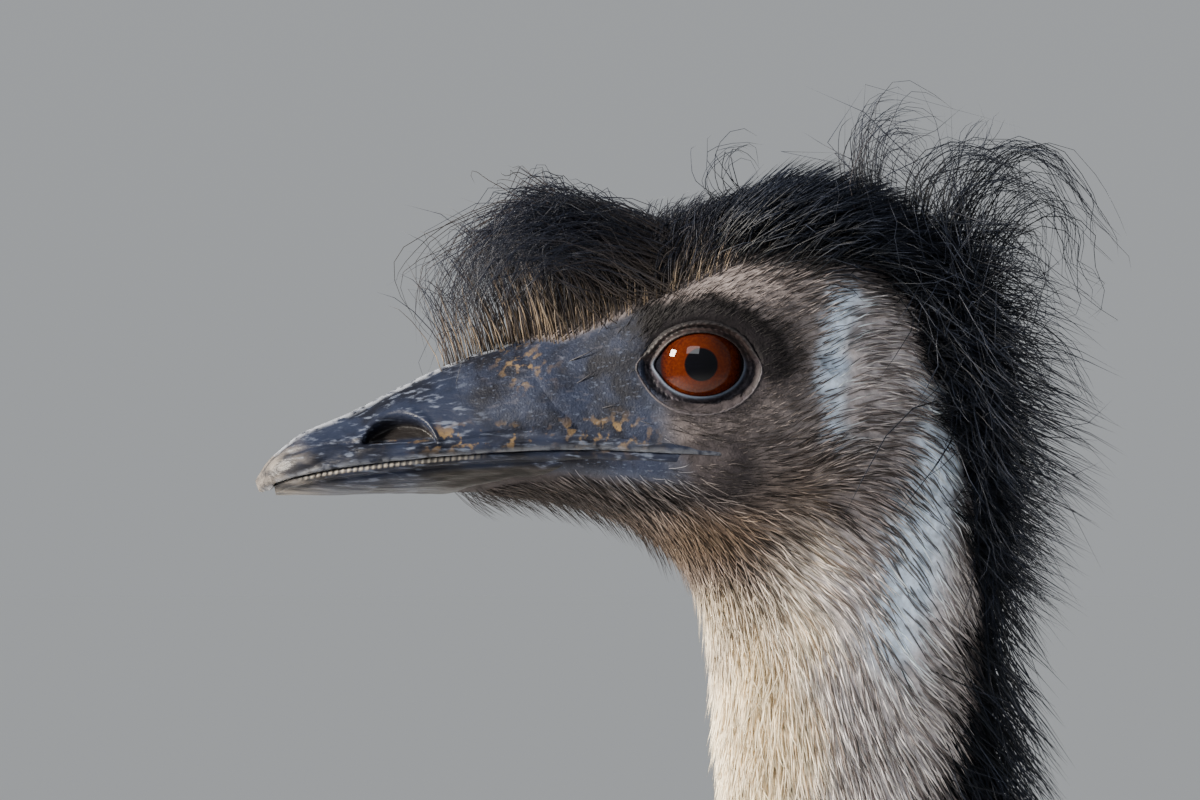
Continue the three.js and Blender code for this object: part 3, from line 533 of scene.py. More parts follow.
def add_coat(name, made, material, slot):
    """Makes a coat's strands into pieces that stay under the limit of triangles."""
    steps = made["paths"].shape[1]
    parts = math.ceil(len(made["paths"]) / (PIECE_LIMIT // (4 + 6 * (steps - 2))))
    along = np.append(np.repeat(np.arange(steps - 1) / (steps - 1), 3), 1.0)
    patch = PATCH * vec(np.append(np.tile([0, 0.5, 1.0], steps - 1), 0.5), along)
    for part in range(parts):
        pick = slice(part, None, parts)
        strands = [made[key][pick] for key in ("paths", "normals", "width", "thick")]
        vertices, faces, per = strand_mesh(*strands, made["taper"])
        marks = {key: np.repeat(values[pick], per) for key, values in made["marks"].items()}
        marks["along"] = np.tile(along, len(strands[0]))
        uv = (made["root"][pick][:, None, :] + patch[None]).reshape(-1, 2)
        label = name if parts == 1 else f"{name}_{part + 1}"
        finish_piece(mesh_object(label, vertices, faces, material, marks, uv[faces.ravel()]), slot)


DENSITY = 1.0
SCATTER_CELLS = (220, 160)
SINK = 0.6


def scatter(count, t_range, seed, weight, sweep=body, offset=skin_offset):
    """Roots spread over a stretch of a sweep by area and by weight, up to about a count: t and a."""
    count = int(count * DENSITY)
    rng = np.random.default_rng(seed)
    last = SCATTER_CELLS[1] - 1
    t_edges = np.linspace(*t_range, SCATTER_CELLS[0] + 1)
    a_edges = np.linspace(-math.pi, math.pi, SCATTER_CELLS[1] + 1)
    tt, aa = np.meshgrid(t_edges, a_edges, indexing="ij")
    p = sweep.point(tt, aa, offset(tt, aa))
    area = np.linalg.norm(np.cross(p[1:, 1:] - p[:-1, :-1], p[1:, :-1] - p[:-1, 1:]), axis=-1) / 2
    share = area * weight(*((edge[1:, 1:] + edge[:-1, :-1]) / 2 for edge in (tt, aa, p)))
    share[1::2] = share[1::2, ::-1]
    total = np.cumsum(share)
    picks = np.searchsorted(total, total[-1] * (np.arange(count) + rng.random(count)) / count)
    row, column = np.divmod(np.minimum(picks, share.size - 1), last + 1)
    column = np.where(row % 2 == 1, last - column, column)
    t = t_edges[row] + rng.random(count) * (t_edges[1] - t_edges[0])
    return t, a_edges[column] + rng.random(count) * (a_edges[1] - a_edges[0])


def walk(t, a, lie, length, heights, sweep=body, offset=skin_offset, fall=None):
    """Paths over a sweep that follow a lie, at the given heights above the skin, and their normals.

    With fall, a path hangs free in that direction once the surface turns under it.
    """
    pace = (length / (heights.shape[1] - 1))[:, None]
    free = np.zeros(len(t), bool)
    points, normals = [], []
    for k, height in enumerate(heights.T):
        along, around, normal = sweep.basis(t, a)
        here = sweep.point(t, a, offset(t, a) + height)
        way = lie(points[-1] if points else here)
        if points and fall is not None:
            free |= (normal[:, 2] < -0.2) & (k > 1)
            here = np.where(free[:, None], points[-1] + unit(way * fall) * pace, here)
            normal = np.where(free[:, None], normals[-1], normal)
        points.append(here)
        normals.append(normal)
        move = unit(way - normal * dot(way, normal)[:, None]) * pace
        tt, ta, aa = dot(along, along), dot(along, around), dot(around, around)
        mt, ma = dot(along, move), dot(around, move)
        size = np.maximum(tt * aa - ta * ta, 1e-6)
        t = np.clip(t + (mt * aa - ma * ta) / size, 0.2, sweep.last - 0.2)
        a = a + np.clip((ma * tt - mt * ta) / size, -0.5, 0.5)
    return np.stack(points, axis=1), np.stack(normals, axis=1)


def sway(paths, normals, rng, amount, waves=1.0):
    """Bends paths sideways and outwards in slow waves that grow towards the tips."""
    s = ramp(paths.shape[1])
    across = unit(np.cross(np.gradient(paths, axis=1), normals))
    phase = rng.random((len(paths), 1)) * 2 * math.pi
    side = np.sin(phase + s * waves * math.pi) - np.sin(phase)
    lift = np.sin(2.1 * phase + s * waves * 2.6) - np.sin(2.1 * phase)
    size = amount[:, None] * s
    return paths + across * (side * size)[..., None] + normals * (0.5 * lift * size)[..., None]


def gathered(paths, groups, strength):
    """Draws each path towards the middle path of its group, more towards the tips."""
    middle = np.zeros((groups.max() + 1,) + paths.shape[1:])
    np.add.at(middle, groups, paths)
    middle /= np.maximum(np.bincount(groups), 1)[:, None, None]
    return paths + (middle[groups] - paths) * strength * ramp(paths.shape[1])[..., None] ** 1.5


def combed(t, a, length, rise, lie, steps, rng, spread, lift):
    """Strands that lie along a coat, each with its length, its rise at the tip and a little stray."""
    heights = -SINK + (rise[:, None] + SINK) * ramp(steps) ** lift
    stray = rng.normal(0, spread, (len(t), 3)) * (1, 0.3, 1)
    return walk(t, a, lambda p: unit(lie(p)) + stray, length, heights)


def grown(t, a, paths, normals, width, rng, thick=0.6, taper=(), root=None, marks=None):
    """All that a coat's strands need, with taper the three shares that taper_of takes."""
    made = {"paths": paths, "normals": normals, "width": width, "thick": width * thick}
    made["taper"] = taper_of(paths.shape[1], *taper)
    made["root"] = body_map(t, a) if root is None else root
    made["marks"] = dict(markings(t, a, body.point(t, a)) if marks is None else marks)
    made["marks"]["tone"] = rng.random(len(t))
    return made


# The lie of the coat. On the head it is blended from combed directions in side view, from the eye.
HEAD_LIE = [
    (-30, 0, 1, 0.2), (-28, 12, -0.1, 1), (-12, 24, 0.4, 0.9), (2, 30, 1, 0.15), (25, 31, 1, 0.1),
    (46, 22, 0.75, -0.6), (-10, 14, 0.5, 0.8), (4, 20, 0.8, 0.6), (14, 20, 0.85, 0.5), (30, 22, 0.97, 0.1),
    (20, 2, 0.9, 0.4), (27, 8, 0.9, 0.45), (38, 8, 0.98, 0.1), (48, 2, 0.9, -0.4), (8, -14, 0.95, 0.2),
    (-8, -14, 1, -0.1), (20, -10, 0.85, 0.5), (26, -20, 0.88, 0.45), (36, -16, 0.95, 0.05),
    (46, -24, 0.75, -0.65), (10, -26, 0.95, 0.1), (26, -36, 0.85, -0.5), (46, -42, 0.6, -0.8),
    (-26, -30, 0.8, -0.6), (0, -38, 0.75, -0.65), (2, -52, 0.45, -0.9), (10, -70, 0.1, -1),
    (30, -66, 0.3, -0.95), (54, -62, 0.85, -0.55), (8, -110, 0.05, -1), (30, -110, 0.15, -0.98),
    (58, -105, 0.75, -0.7), (10, -200, 0.05, -1), (60, -200, 0.4, -0.95),
]


def head_lie(p):
    x, z = from_eye(p)
    total = np.zeros(p.shape)
    for at_x, at_z, way_x, way_z in HEAD_LIE:
        weight = 1 / ((x - at_x) ** 2 + (z - at_z) ** 2 + 20) ** 2
        total += vec(weight * way_x, 0, weight * way_z)
    return unit(total)


def body_lie(p):
    """Down the neck, parted along the back, and down and backwards over the body."""
    back = smooth(p[..., 0], -330, 120)
    out = np.sign(p[..., 1]) * 0.5 * smooth(np.abs(p[..., 1]), 4, 110)
    return unit(vec(lerp(0.12, 0.85, back), out, -0.9))


def whole_lie(p):
    down = smooth(p[..., 2], 1440, 1300)[..., None]
    return unit(lerp(head_lie(p), body_lie(p), down))


# Materials
class Look:
    """A Principled material, with short calls for the nodes that feed it."""

    def __init__(self, name, roughness, specular=0.4, **sockets):
        self.material = bpy.data.materials.new(name)
        self.material.use_nodes = True
        self.tree = self.material.node_tree
        self.inputs = self.tree.nodes["Principled BSDF"].inputs
        for socket, value in {"Roughness": roughness, "Specular_IOR_Level": specular, **sockets}.items():
            self.inputs[socket.replace("_", " ")].default_value = value
        self.place = self.node("TexCoord").outputs["Object"]

    def feed(self, socket, value):
        if isinstance(value, bpy.types.NodeSocket):
            self.tree.links.new(value, socket)
        else:
            socket.default_value = (*value, 1) if socket.type == "RGBA" else value

    def node(self, kind, inputs=None, **settings):
        """A new node with its settings, and with its inputs fed by name or by number."""
        node = self.tree.nodes.new(f"ShaderNode{kind}")
        for key, value in settings.items():
            setattr(node, key, value)
        for key, value in (inputs or {}).items():
            self.feed(node.inputs[key], value)
        return node

    def mark(self, name):
        return self.node("Attribute", attribute_name=name).outputs["Fac"]

    def mix(self, share, a, b, blend="MIX"):
        return self.node("Mix", {0: share, 6: a, 7: b}, data_type="RGBA", blend_type=blend).outputs[2]

    def over(self, colour, *layers):
        """A colour under others, each laid over it by its share, which may be given as the name of a mark."""
        for share, value in layers:
            colour = self.mix(self.mark(share) if isinstance(share, str) else share, colour, value)
        return colour

    def span(self, value, low, high, to_low=0.0, to_high=1.0):
        given = dict(enumerate((value, low, high, to_low, to_high)))
        return self.node("MapRange", given, interpolation_type="SMOOTHSTEP").outputs[0]

    def times(self, a, b):
        return self.node("Math", {0: a, 1: b}, operation="MULTIPLY").outputs[0]

    def texture(self, kind, size, stretch=(1, 1, 1), **settings):
        """A texture with features of a size in millimetres."""
        place = self.node("Mapping", {"Vector": self.place, "Scale": stretch}).outputs[0]
        return self.node(kind, {"Vector": place, "Scale": 1 / (size * MM)}, **settings)

    def grain(self, size, detail=3.0, stretch=(1, 1, 1)):
        noise_node = self.texture("TexNoise", size, stretch)
        noise_node.inputs["Detail"].default_value = detail
        return noise_node.outputs[0]

    def cells(self, size, feature="F1"):
        return self.texture("TexVoronoi", size, feature=feature).outputs["Distance"]

    def relief(self, height, depth, strength):
        """Bump of a depth in millimetres, over the bump that is there already."""
        given = {"Strength": strength, "Distance": depth * MM, "Height": height}
        normal = self.inputs["Normal"]
        if normal.links:
            given["Normal"] = normal.links[0].from_socket
        self.feed(normal, self.node("Bump", given).outputs[0])

    def colour(self, value):
        self.feed(self.inputs["Base Color"], value)


SKIN_COLOURS = {
    "cheek": (0.15, 0.128, 0.125),
    "lilac": (0.50, 0.46, 0.47),
    "cream": (0.70, 0.58, 0.42),
    "brown": (0.085, 0.058, 0.042),
    "blue": (0.60, 0.70, 0.84),
    "dusk": (0.026, 0.022, 0.024),
    "bare": (0.045, 0.054, 0.080),
    "brow": (0.005, 0.004, 0.005),
    "black": (0.005, 0.006, 0.009),
    "body": (0.045, 0.036, 0.030),
}
DOWN_COLOURS = {
    "cheek": ((0.21, 0.175, 0.17), (0.33, 0.285, 0.275)),
    "lilac": ((0.50, 0.46, 0.47), (0.74, 0.70, 0.70)),
    "cream": ((0.66, 0.53, 0.35), (0.97, 0.86, 0.65)),
    "brown": ((0.085, 0.056, 0.038), (0.19, 0.135, 0.092)),
    "blue": ((0.60, 0.70, 0.80), (0.80, 0.88, 0.94)),
    "dusk": ((0.045, 0.038, 0.038), (0.10, 0.086, 0.084)),
    "bare": ((0.07, 0.075, 0.095), (0.13, 0.135, 0.155)),
    "brow": ((0.004, 0.003, 0.003), (0.007, 0.006, 0.006)),
    "black": ((0.004, 0.005, 0.008), (0.011, 0.014, 0.024)),
    "body": ((0.075, 0.058, 0.046), (0.14, 0.11, 0.088)),
}
SHAFT_COLOURS = {
    "cheek": ((0.060, 0.046, 0.042), (0.018, 0.015, 0.016)),
    "lilac": ((0.30, 0.26, 0.25), (0.13, 0.11, 0.11)),
    "cream": ((0.60, 0.46, 0.29), (0.40, 0.29, 0.18)),
    "brown": ((0.040, 0.026, 0.018), (0.018, 0.012, 0.010)),
    "blue": ((0.17, 0.175, 0.19), (0.060, 0.060, 0.068)),
    "dusk": ((0.030, 0.024, 0.023), (0.012, 0.010, 0.010)),
    "bare": ((0.035, 0.034, 0.040), (0.020, 0.019, 0.022)),
    "brow": ((0.005, 0.004, 0.004), (0.004, 0.003, 0.004)),
    "black": ((0.004, 0.005, 0.007), (0.010, 0.013, 0.023)),
    "body": ((0.050, 0.038, 0.030), (0.030, 0.023, 0.019)),
}
FORELOCK_COLOURS = {
    "fair": ((0.23, 0.175, 0.122), (0.034, 0.029, 0.029)),
    "dark": ((0.042, 0.034, 0.031), (0.008, 0.010, 0.018)),
}
CRUST = (0.13, 0.085, 0.038)
TONES = (0.72, 1.28)


def marked(look, colours, along=None):
    """The colour of every mark, laid over the cheek's. A pair of colours runs from root to tip."""
    if along is not None:
        colours = {key: look.mix(along, *pair) for key, pair in colours.items()}
    return look.over(colours["cheek"], *((key, colours[key]) for key in MARKS))


def coat_look(name, colours, roughness, specular=0.3, contrast=TONES):
    look = Look(name, roughness, specular)
    colour = marked(look, colours, look.span(look.mark("along"), 0.15, 0.9))
    tone = look.span(look.mark("tone"), 0.0, 1.0, *contrast)
    patches = look.span(look.grain(6, 2), 0.35, 0.65, 0.82, 1.15)
    look.colour(look.mix(1.0, look.mix(1.0, colour, tone, "MULTIPLY"), patches, "MULTIPLY"))
    return look.material


def forelock_look():
    """Forehead strands, some fair and some dark, that darken towards their tips and towards the crown."""
    look = Look("forelock", 0.45, 0.16)
    along = look.span(look.mark("along"), 0.05, 0.6)
    fair, dark = (look.mix(along, *FORELOCK_COLOURS[key]) for key in ("fair", "dark"))
    share = look.times(look.mark("fair"), look.span(look.mark("tone"), 0.48, 0.80))
    look.colour(look.mix(share, dark, fair))
    return look.material


def crust_share(look):
    return look.times(look.span(look.grain(2.4, 6), 0.52, 0.64), look.mark("ochre"))


def slate(look):
    """The blue-grey of the bare skin and the bill's base, with pale specks and ochre crusts."""
    clouds = look.span(look.grain(7, 5), 0.36, 0.64)
    specks = look.span(look.grain(0.7, 6, (0.5, 1, 1.3)), 0.58, 0.70, 0.0, 0.36)
    lines = look.span(look.grain(1.8, 4, (0.35, 1, 1.5)), 0.60, 0.68, 0.0, 0.35)
    return look.over(
        (0.0035, 0.0042, 0.0080), (clouds, (0.011, 0.015, 0.030)), (specks, (0.075, 0.09, 0.13)),
        (lines, (0.05, 0.05, 0.064)), (crust_share(look), CRUST),
    )


def hide_relief(look, share=None):
    """The fine relief of the bare skin, which the bill's base shares."""
    pits = look.span(look.cells(0.55), 0.7, 0.1)
    heights = ((pits, 0.07, 0.5), (look.grain(0.8, 5), 0.14, 0.7), (look.grain(3.5), 0.35, 0.5))
    for height, depth, strength in heights:
        look.relief(height if share is None else look.times(height, share), depth, strength)


def skin_look():
    look = Look("emu_skin", 0.6, 0.09)
    mottle = look.span(look.grain(2.2, 5), 0.3, 0.7, 0.72, 1.3)
    seams = look.span(look.cells(4.2, "DISTANCE_TO_EDGE"), 0.02, 0.12)
    wear = look.span(look.grain(14, 4), 0.45, 0.7, 0.0, 0.6)
    horn = look.over((0.035, 0.03, 0.027), (seams, (0.105, 0.092, 0.082)), (wear, (0.19, 0.165, 0.14)))
    flesh = look.mix(1.0, marked(look, SKIN_COLOURS), mottle, "MULTIPLY")
    look.colour(look.over(flesh, ("bare", slate(look)), ("scale", horn)))
    hide_relief(look)
    look.relief(look.times(seams, look.mark("scale")), 0.5, 0.8)
    return look.material


def lid_look():
    look = Look("emu_eyelid", 0.5, 0.16)
    folds = look.span(look.grain(1.1, 4), 0.35, 0.65)
    lower = look.mix(folds, (0.010, 0.009, 0.012), (0.034, 0.029, 0.036))
    upper = look.mix(folds, (0.008, 0.006, 0.006), (0.026, 0.018, 0.018))
    # The rim layer is the lower lid's own blue-grey rim, made paler with a painted highlight where light
    # catches the lower lid's edge.
    look.colour(look.over(
        lower, ("upper", upper), ("brow", (0.005, 0.004, 0.005)), ("crease", (0.050, 0.044, 0.048)),
        # The last layer is painted shade along the lids' inner edge, where they meet the eyeball.
        ("rim", (0.060, 0.075, 0.105)), ("lid_edge_shade", (0.004, 0.003, 0.004)),
    ))
    look.relief(look.grain(0.45), 0.12, 0.8)
    return look.material


def eye_look():
    look = Look("emu_eye", 0.3, 0.0, Coat_Weight=0.6, Coat_Roughness=0.015, Coat_IOR=1.376)
    out = look.mark("radial")
    fibres = look.span(look.grain(0.55, 4), 0.35, 0.7, 0.0, 0.5)
    look.colour(look.over(
        (0.050, 0.0066, 0.0005),
        (look.span(out, 0.36, 0.9), (0.020, 0.0020, 0.0003)),
        (fibres, (0.078, 0.014, 0.001)),
        (look.span(out, 0.82, 0.99), (0.014, 0.002, 0.001)),
        (look.span(out, 0.405, 0.365), (0.001, 0.001, 0.002)),
        (look.span(out, 0.96, 1.02), (0.004, 0.004, 0.006)),
    ))
    return look.material


def horn_look():
    look = Look("emu_bill", 0.36, 0.11)
    wear = look.grain(1.6, 6, (0.35, 1, 1.6))
    gular = look.mix(look.span(wear, 0.4, 0.6), (0.004, 0.0035, 0.0035), (0.012, 0.010, 0.010))
    streaks = look.span(look.grain(2.2, 4, (0.12, 1, 1)), 0.36, 0.64)
    nail = look.mix(streaks, (0.025, 0.024, 0.026), (0.135, 0.12, 0.108))
    # Painted highlight: a pale, broken line along the culmen's top and the upper lip's edge, where light
    # catches the bill.
    culmen_and_lip_highlight = look.times(look.mark("culmen_and_lip_highlight"), look.span(look.grain(1.8, 4), 0.32, 0.58))
    base = look.mark("base")
    look.colour(look.over(
        (0.0035, 0.0042, 0.0080),
        (look.span(look.grain(9, 4), 0.38, 0.62), (0.010, 0.0135, 0.027)),
        (look.span(wear, 0.54, 0.70, 0.0, 0.65), (0.09, 0.105, 0.145)),
        (base, slate(look)), ("gular", gular), (crust_share(look), CRUST), ("nail", nail),
        # The last layer is painted shade: the upper inside of the nostril painted near black.
        (culmen_and_lip_highlight, (0.20, 0.215, 0.25)), ("beads", (0.30, 0.27, 0.23)), ("deep", (0.006, 0.005, 0.005)),
    ))
    front = look.span(base, 1.0, 0.0)
    look.relief(look.times(look.grain(0.7, 5, (0.3, 1, 1.4)), front), 0.16, 0.8)
    look.relief(look.times(wear, front), 0.2, 0.5)
    hide_relief(look, base)
    look.feed(look.inputs["Roughness"], look.span(base, 0.0, 1.0, 0.36, 0.6))
    return look.material


def claw_look():
    look = Look("emu_claw", 0.38, 0.45)
    streaks = look.grain(2.5, 4, (0.2, 1, 1))
    worn = (look.span(streaks, 0.35, 0.65), (0.055, 0.049, 0.044))
    look.colour(look.over((0.018, 0.016, 0.015), worn, ("tip", (0.16, 0.14, 0.12))))
    look.relief(streaks, 0.3, 0.6)
    return look.material


# Skin
SKIN_SPAN = (4.0, 31.0)
SKIN_SPACING = ((4, 12, 13.5, 17, 20, 23, 31), (0.9, 0.9, 1.4, 2.6, 5, 9, 10))
SKIN_AROUND = 176
SKIN_MARKS = (*MARKS, "ochre", "scale")
LEG_SPAN = (0.3, 14)
LEG_SPACING = ((0, 5, 7, 14), (10, 8, 1.9, 1.9))
LEG_AROUND = 60
TOE_SPACING = 1.6
TOE_AROUND = 44
TOE_PROFILE = [(0.05, 42, 18), (0.3, 35, 16.5), (0.6, 29, 15.5), (0.85, 25, 14.5), (0.98, 20, 12)]
CLAW_PROFILE = [
    (-7, 17, 4, 5.5), (0, 18, 2.5, 6.6), (12, 16, 1.6, 5.8), (23, 10, 0.9, 3.6), (31, 3.2, 0.7, 0.9),
]
CLAW_RINGS = 41
CLAW_AROUND = 40


def unwrapped(to_map, tt, aa, ends, wide, faces):
    """The unwrap of a tube at its faces' corners, with the faces across its seam kept whole."""
    corners = to_map(with_ends(tt, *ends), with_ends(aa))[faces]
    top = corners[..., 0].max(axis=1, keepdims=True)
    corners[..., 0] += wide * (corners[..., 0] < top - wide / 2)
    return corners.reshape(-1, 2)


def build_skin():
    """One mesh of the head, neck, body, legs and toes."""
    stations = even_stations(body, *SKIN_SPAN, lambda t: np.interp(t, *SKIN_SPACING))
    tt, aa = ring_grid(stations, SKIN_AROUND)
    p = skin_point(tt, aa)
    behind = behind_bill(p)
    under = 0.35 * smooth(behind, 3, -3) + 4.2 * smooth(behind, -2.5, -14)
    vertices, faces = closed_tube(skin_point(tt, aa, -under))
    corners = unwrapped(body_map, tt, aa, SKIN_SPAN, BODY_MAP["wide"], faces)
    pieces = [(vertices, faces, corners, {**markings(tt, aa, p), "ochre": crusted(p)})]
    for name, side in SIDES.items():
        pieces += leg_pieces(name, side)
    return joined_skin(pieces)


def joined_skin(pieces):
    """One object of all the tubes."""
    vertices, faces, corners, marks_of = zip(*pieces)
    starts = np.cumsum([0] + [len(part) for part in vertices])
    marks = {}
    for key in SKIN_MARKS:
        filled = [np.ravel(given.get(key, 0.0)) * np.ones(len(v) - 2) for given, v in zip(marks_of, vertices)]
        marks[key] = np.concatenate([with_ends(values, values[0], values[-1]) for values in filled])
    faces = np.vstack([part + start for part, start in zip(faces, starts)])
    return mesh_object("emu_skin", np.vstack(vertices), faces, skin_look(), marks, np.vstack(corners))


def pebbles(run, around, size):
    """Small domed scales in staggered rows."""
    row = np.floor(run / size)
    f = (run / size) % 1 - 0.5
    g = (around / size + 0.5 * (row % 2)) % 1 - 0.5
    return smooth(np.hypot(f, g) * 2, 1.05, 0.35)


LEG_SCUTES = {"from": 8.2, "to": 12.6, "count": 26}


def leg_offset(t, a):
    """The leg's skin: inside the feathers above, scutes in front and pebbled scales elsewhere below."""
    along = (t - LEG_SCUTES["from"]) / (LEG_SCUTES["to"] - LEG_SCUTES["from"])
    step = np.clip(along, 0, 1) * LEG_SCUTES["count"]
    front = smooth(np.sin(a), 0.35, 0.6) * smooth(t, 8.0, 8.4)
    plate = 1.1 * smooth(step % 1, 0.0, 0.18) * smooth(step % 1, 1.25, 0.75)
    pebble = 0.75 * pebbles(t * 42, a * 20, 4.2) * smooth(t, 5.6, 6.4)
    return -6 * smooth(t, 6.6, 4.8) + front * plate + (1 - front) * pebble


def toe_scutes(t, a, count):
    top = smooth(np.sin(a), 0.05, 0.45)
    step = np.clip((t - 0.9) / 4.3, 0, 1) * count
    plate = 1.2 * smooth(step % 1, 0.0, 0.2) * smooth(step % 1, 1.3, 0.75)
    return top * plate + (1 - top) * 0.6 * pebbles(t * 22, a * 14, 3.6)


def toe_sweep(toe):
    long, wide = toe["length"], toe["wide"]
    stations = [(-share * long, top, -share * long, -3, half * wide) for share, top, half in TOE_PROFILE]
    return Sweep([(14, 42, 14, -3, 17 * wide), *stations, (-long - 5, 13, -long - 4, -1, 6 * wide)])


def claw_sweep(toe):
    long, wide = toe["length"], toe["wide"]
    return Sweep([(-long - x, top, -long - x, low, half * wide) for x, top, low, half in CLAW_PROFILE])


def on_foot(points, toe, side):
    """Turns points of a toe by its splay and sets them at the ball of the foot, no lower than the floor."""
    turn = math.radians(toe["splay"] * side)
    x, y, z = np.moveaxis(points, -1, 0)
    return vec(
        LEG["ball"] + x * math.cos(turn) - y * math.sin(turn),
        side * LEG["y"] + x * math.sin(turn) + y * math.cos(turn),
        np.maximum(z, 0),
    )


def leg_pieces(name, side):
    """The tubes of a leg and its toes, each as vertices, faces, an unwrap at the faces' corners and marks."""
    sweep = legs[name]
    tt, aa = ring_grid(even_stations(sweep, *LEG_SPAN, lambda t: np.interp(t, *LEG_SPACING)), LEG_AROUND)
    grid = sweep.point(tt, aa, leg_offset(tt, aa))
    grid[..., 2] = np.maximum(grid[..., 2], 0)
    marks = {"scale": smooth(tt, 5.4, 6.6), "body": smooth(tt, 6.6, 5.4)}
    tubes = [(grid, tt, aa, LEG_SPAN, LEG_MAP["leg"], marks)]
    for toe_name, toe in TOES.items():
        line = toe_sweep(toe)
        tt, aa = ring_grid(even_stations(line, 0, line.last, lambda t: TOE_SPACING + 0 * t), TOE_AROUND)
        grid = on_foot(line.point(tt, aa, toe_scutes(tt, aa, toe["scutes"])), toe, side)
        tubes.append((grid, tt, aa, (0, line.last), TOE_MAP[toe_name], {"scale": 1.0}))
    pieces = []
    for grid, tt, aa, ends, rows, marks in tubes:
        vertices, faces = closed_tube(grid)
        to_map = functools.partial(leg_map, name, last=ends[1], low=rows[0], high=rows[1])
        pieces.append((vertices, faces, unwrapped(to_map, tt, aa, ends, LEG_MAP["wide"], faces), marks))
    return pieces


def build_claws(material):
    for side_name, side in SIDES.items():
        for toe_name, toe in TOES.items():
            sweep = claw_sweep(toe)
            tt, aa = ring_grid(np.linspace(0, sweep.last, CLAW_RINGS), CLAW_AROUND)
            keel = 0.5 * smooth(np.abs(np.cos(aa)), 0.3, 0.0) * (np.sin(aa) > 0)
            vertices, faces = closed_tube(on_foot(sweep.point(tt, aa, keel), toe, side))
            marks = {"tip": with_ends(smooth(tt, 2.4, 4.0), 0, 1)}
            label = f"claw_{toe_name}_{side_name}"
            finish_piece(mesh_object(f"horn_{label}", vertices, faces, material, marks), "claw", label)


# Bill
NOSTRIL = {"x": -65.8, "low": -17.3, "long": 8.0, "high": 6.4, "deep": 3.4}
BEADS = {"from": -90, "to": -52, "pitch": 1.35}


def horn_relief(p):
    """The bill's relief, and the marks of its colours."""
    x, z = from_eye(p)
    behind = behind_bill(p)
    y = np.abs(p[..., 1])
    side = smooth(y, 2.5, 4.0)
    u = np.clip((x - NOSTRIL["x"]) / NOSTRIL["long"], -1, 1)
    arch = NOSTRIL["low"] + NOSTRIL["high"] * (1 - u * u) ** 0.6
    inside = np.minimum(z - NOSTRIL["low"], arch - z)
    pit = smooth(inside, -0.2, 1.0) * side
    rim = 0.5 * np.exp(-((inside + 0.9) ** 2) / 0.9) * side * smooth(np.abs(x - NOSTRIL["x"]), 11, 8)
    groove = 0.9 * bump(x, z, -66, -14, 19, 4.6) * side
    over = z - mouth_height(x)
    band_top = np.interp(x, (-97, -72, -56, -36, 0), (6.0, 5.2, 3.0, 4.2, 2.2))
    crease = peak(over - band_top, 0.5) * smooth(x, -97, -88)
    lip = 0.55 * smooth(over, band_top, band_top - 1.6) * smooth(over, -0.1, 0.3) - 0.45 * crease
    low_crease = peak(over + 2.6, 0.5) * smooth(x, -92, -84)
    low_lip = 0.35 * smooth(over, -2.4, -1.6) - 0.45 * low_crease
    bead_place = smooth(over, -1.3, -0.8) * smooth(over, -0.1, -0.4)
    bead_run = smooth(x, BEADS["from"], BEADS["from"] + 6) * smooth(x, BEADS["to"] + 6, BEADS["to"])
    beads = (0.5 + 0.5 * np.cos(2 * math.pi * x / BEADS["pitch"])) * bead_place * bead_run
    keel = 0.45 * smooth(y, 3.4, 1.6) * smooth(x, -94, -84) * (z > -20)
    cutting = peak(z - 0.42 * x - 13.5, 0.9) * smooth(x, -96, -88) * smooth(x, -66, -74)
    chips = 0.14 * noise(p * (0.3, 1, 1), 1.3, 7) + 0.25 * noise(p * (0.5, 1, 1), 5, 8)
    offset = rim - NOSTRIL["deep"] * pit - groove + lip * side + low_lip * side + 0.3 * beads + keel + chips
    # Painted highlight: a pale thin line on the upper lip's edge, just above the mouth line.
    lip_edge_highlight = 0.35 * smooth(over, 1.6, 0.4) * (over > 0)
    return (offset - 0.5 * cutting * side) * smooth(behind, 2.0, -2.0), {
        "nail": smooth(x + 0.5 * z, -93, -106),
        "beads": beads,
        # Painted highlight along the culmen's top and along the upper lip's edge.
        "culmen_and_lip_highlight": np.maximum(smooth(y, 3.6, 1.8) * (z > -20), lip_edge_highlight),
        "ochre": np.maximum(crusted(p), 0.9 * pit * smooth(z, -15, -17)) * side,
        # Painted shade: the upper inside of the nostril's pit, which the bill's colour paints near black.
        "deep": pit * smooth(z, -17.2, -15.4),
        "base": smooth(behind, -24, -12) * (over > band_top - 0.6) * (1 - pit),
        "gular": smooth(over, -3.0, -4.2) * smooth(x, -64, -54),
    }


def mouth_angles(tt, shift):
    """The angle on the right side where each ring meets the mouth line, moved up by a shift."""
    low = np.full_like(tt, -math.pi / 2)
    high = np.full_like(tt, math.pi / 2)
    for _ in range(30):
        middle = (low + high) / 2
        x, z = from_eye(body.point(tt, middle))
        above = z > mouth_height(x) + shift
        high = np.where(above, middle, high)
        low = np.where(above, low, middle)
    return (low + high) / 2


BILL_HALVES = {
    "upper": {"sign": 1, "start": 0.0, "shift": 0.12},
    "lower": {"sign": -1, "start": 1.05, "shift": -0.12},
}
BILL_END = 9.35
BILL_SPACING = ((0, 5.5, 9.4), (0.45, 0.5, 1.0))
BILL_OUTSIDE = 96
BILL_INSIDE = 12


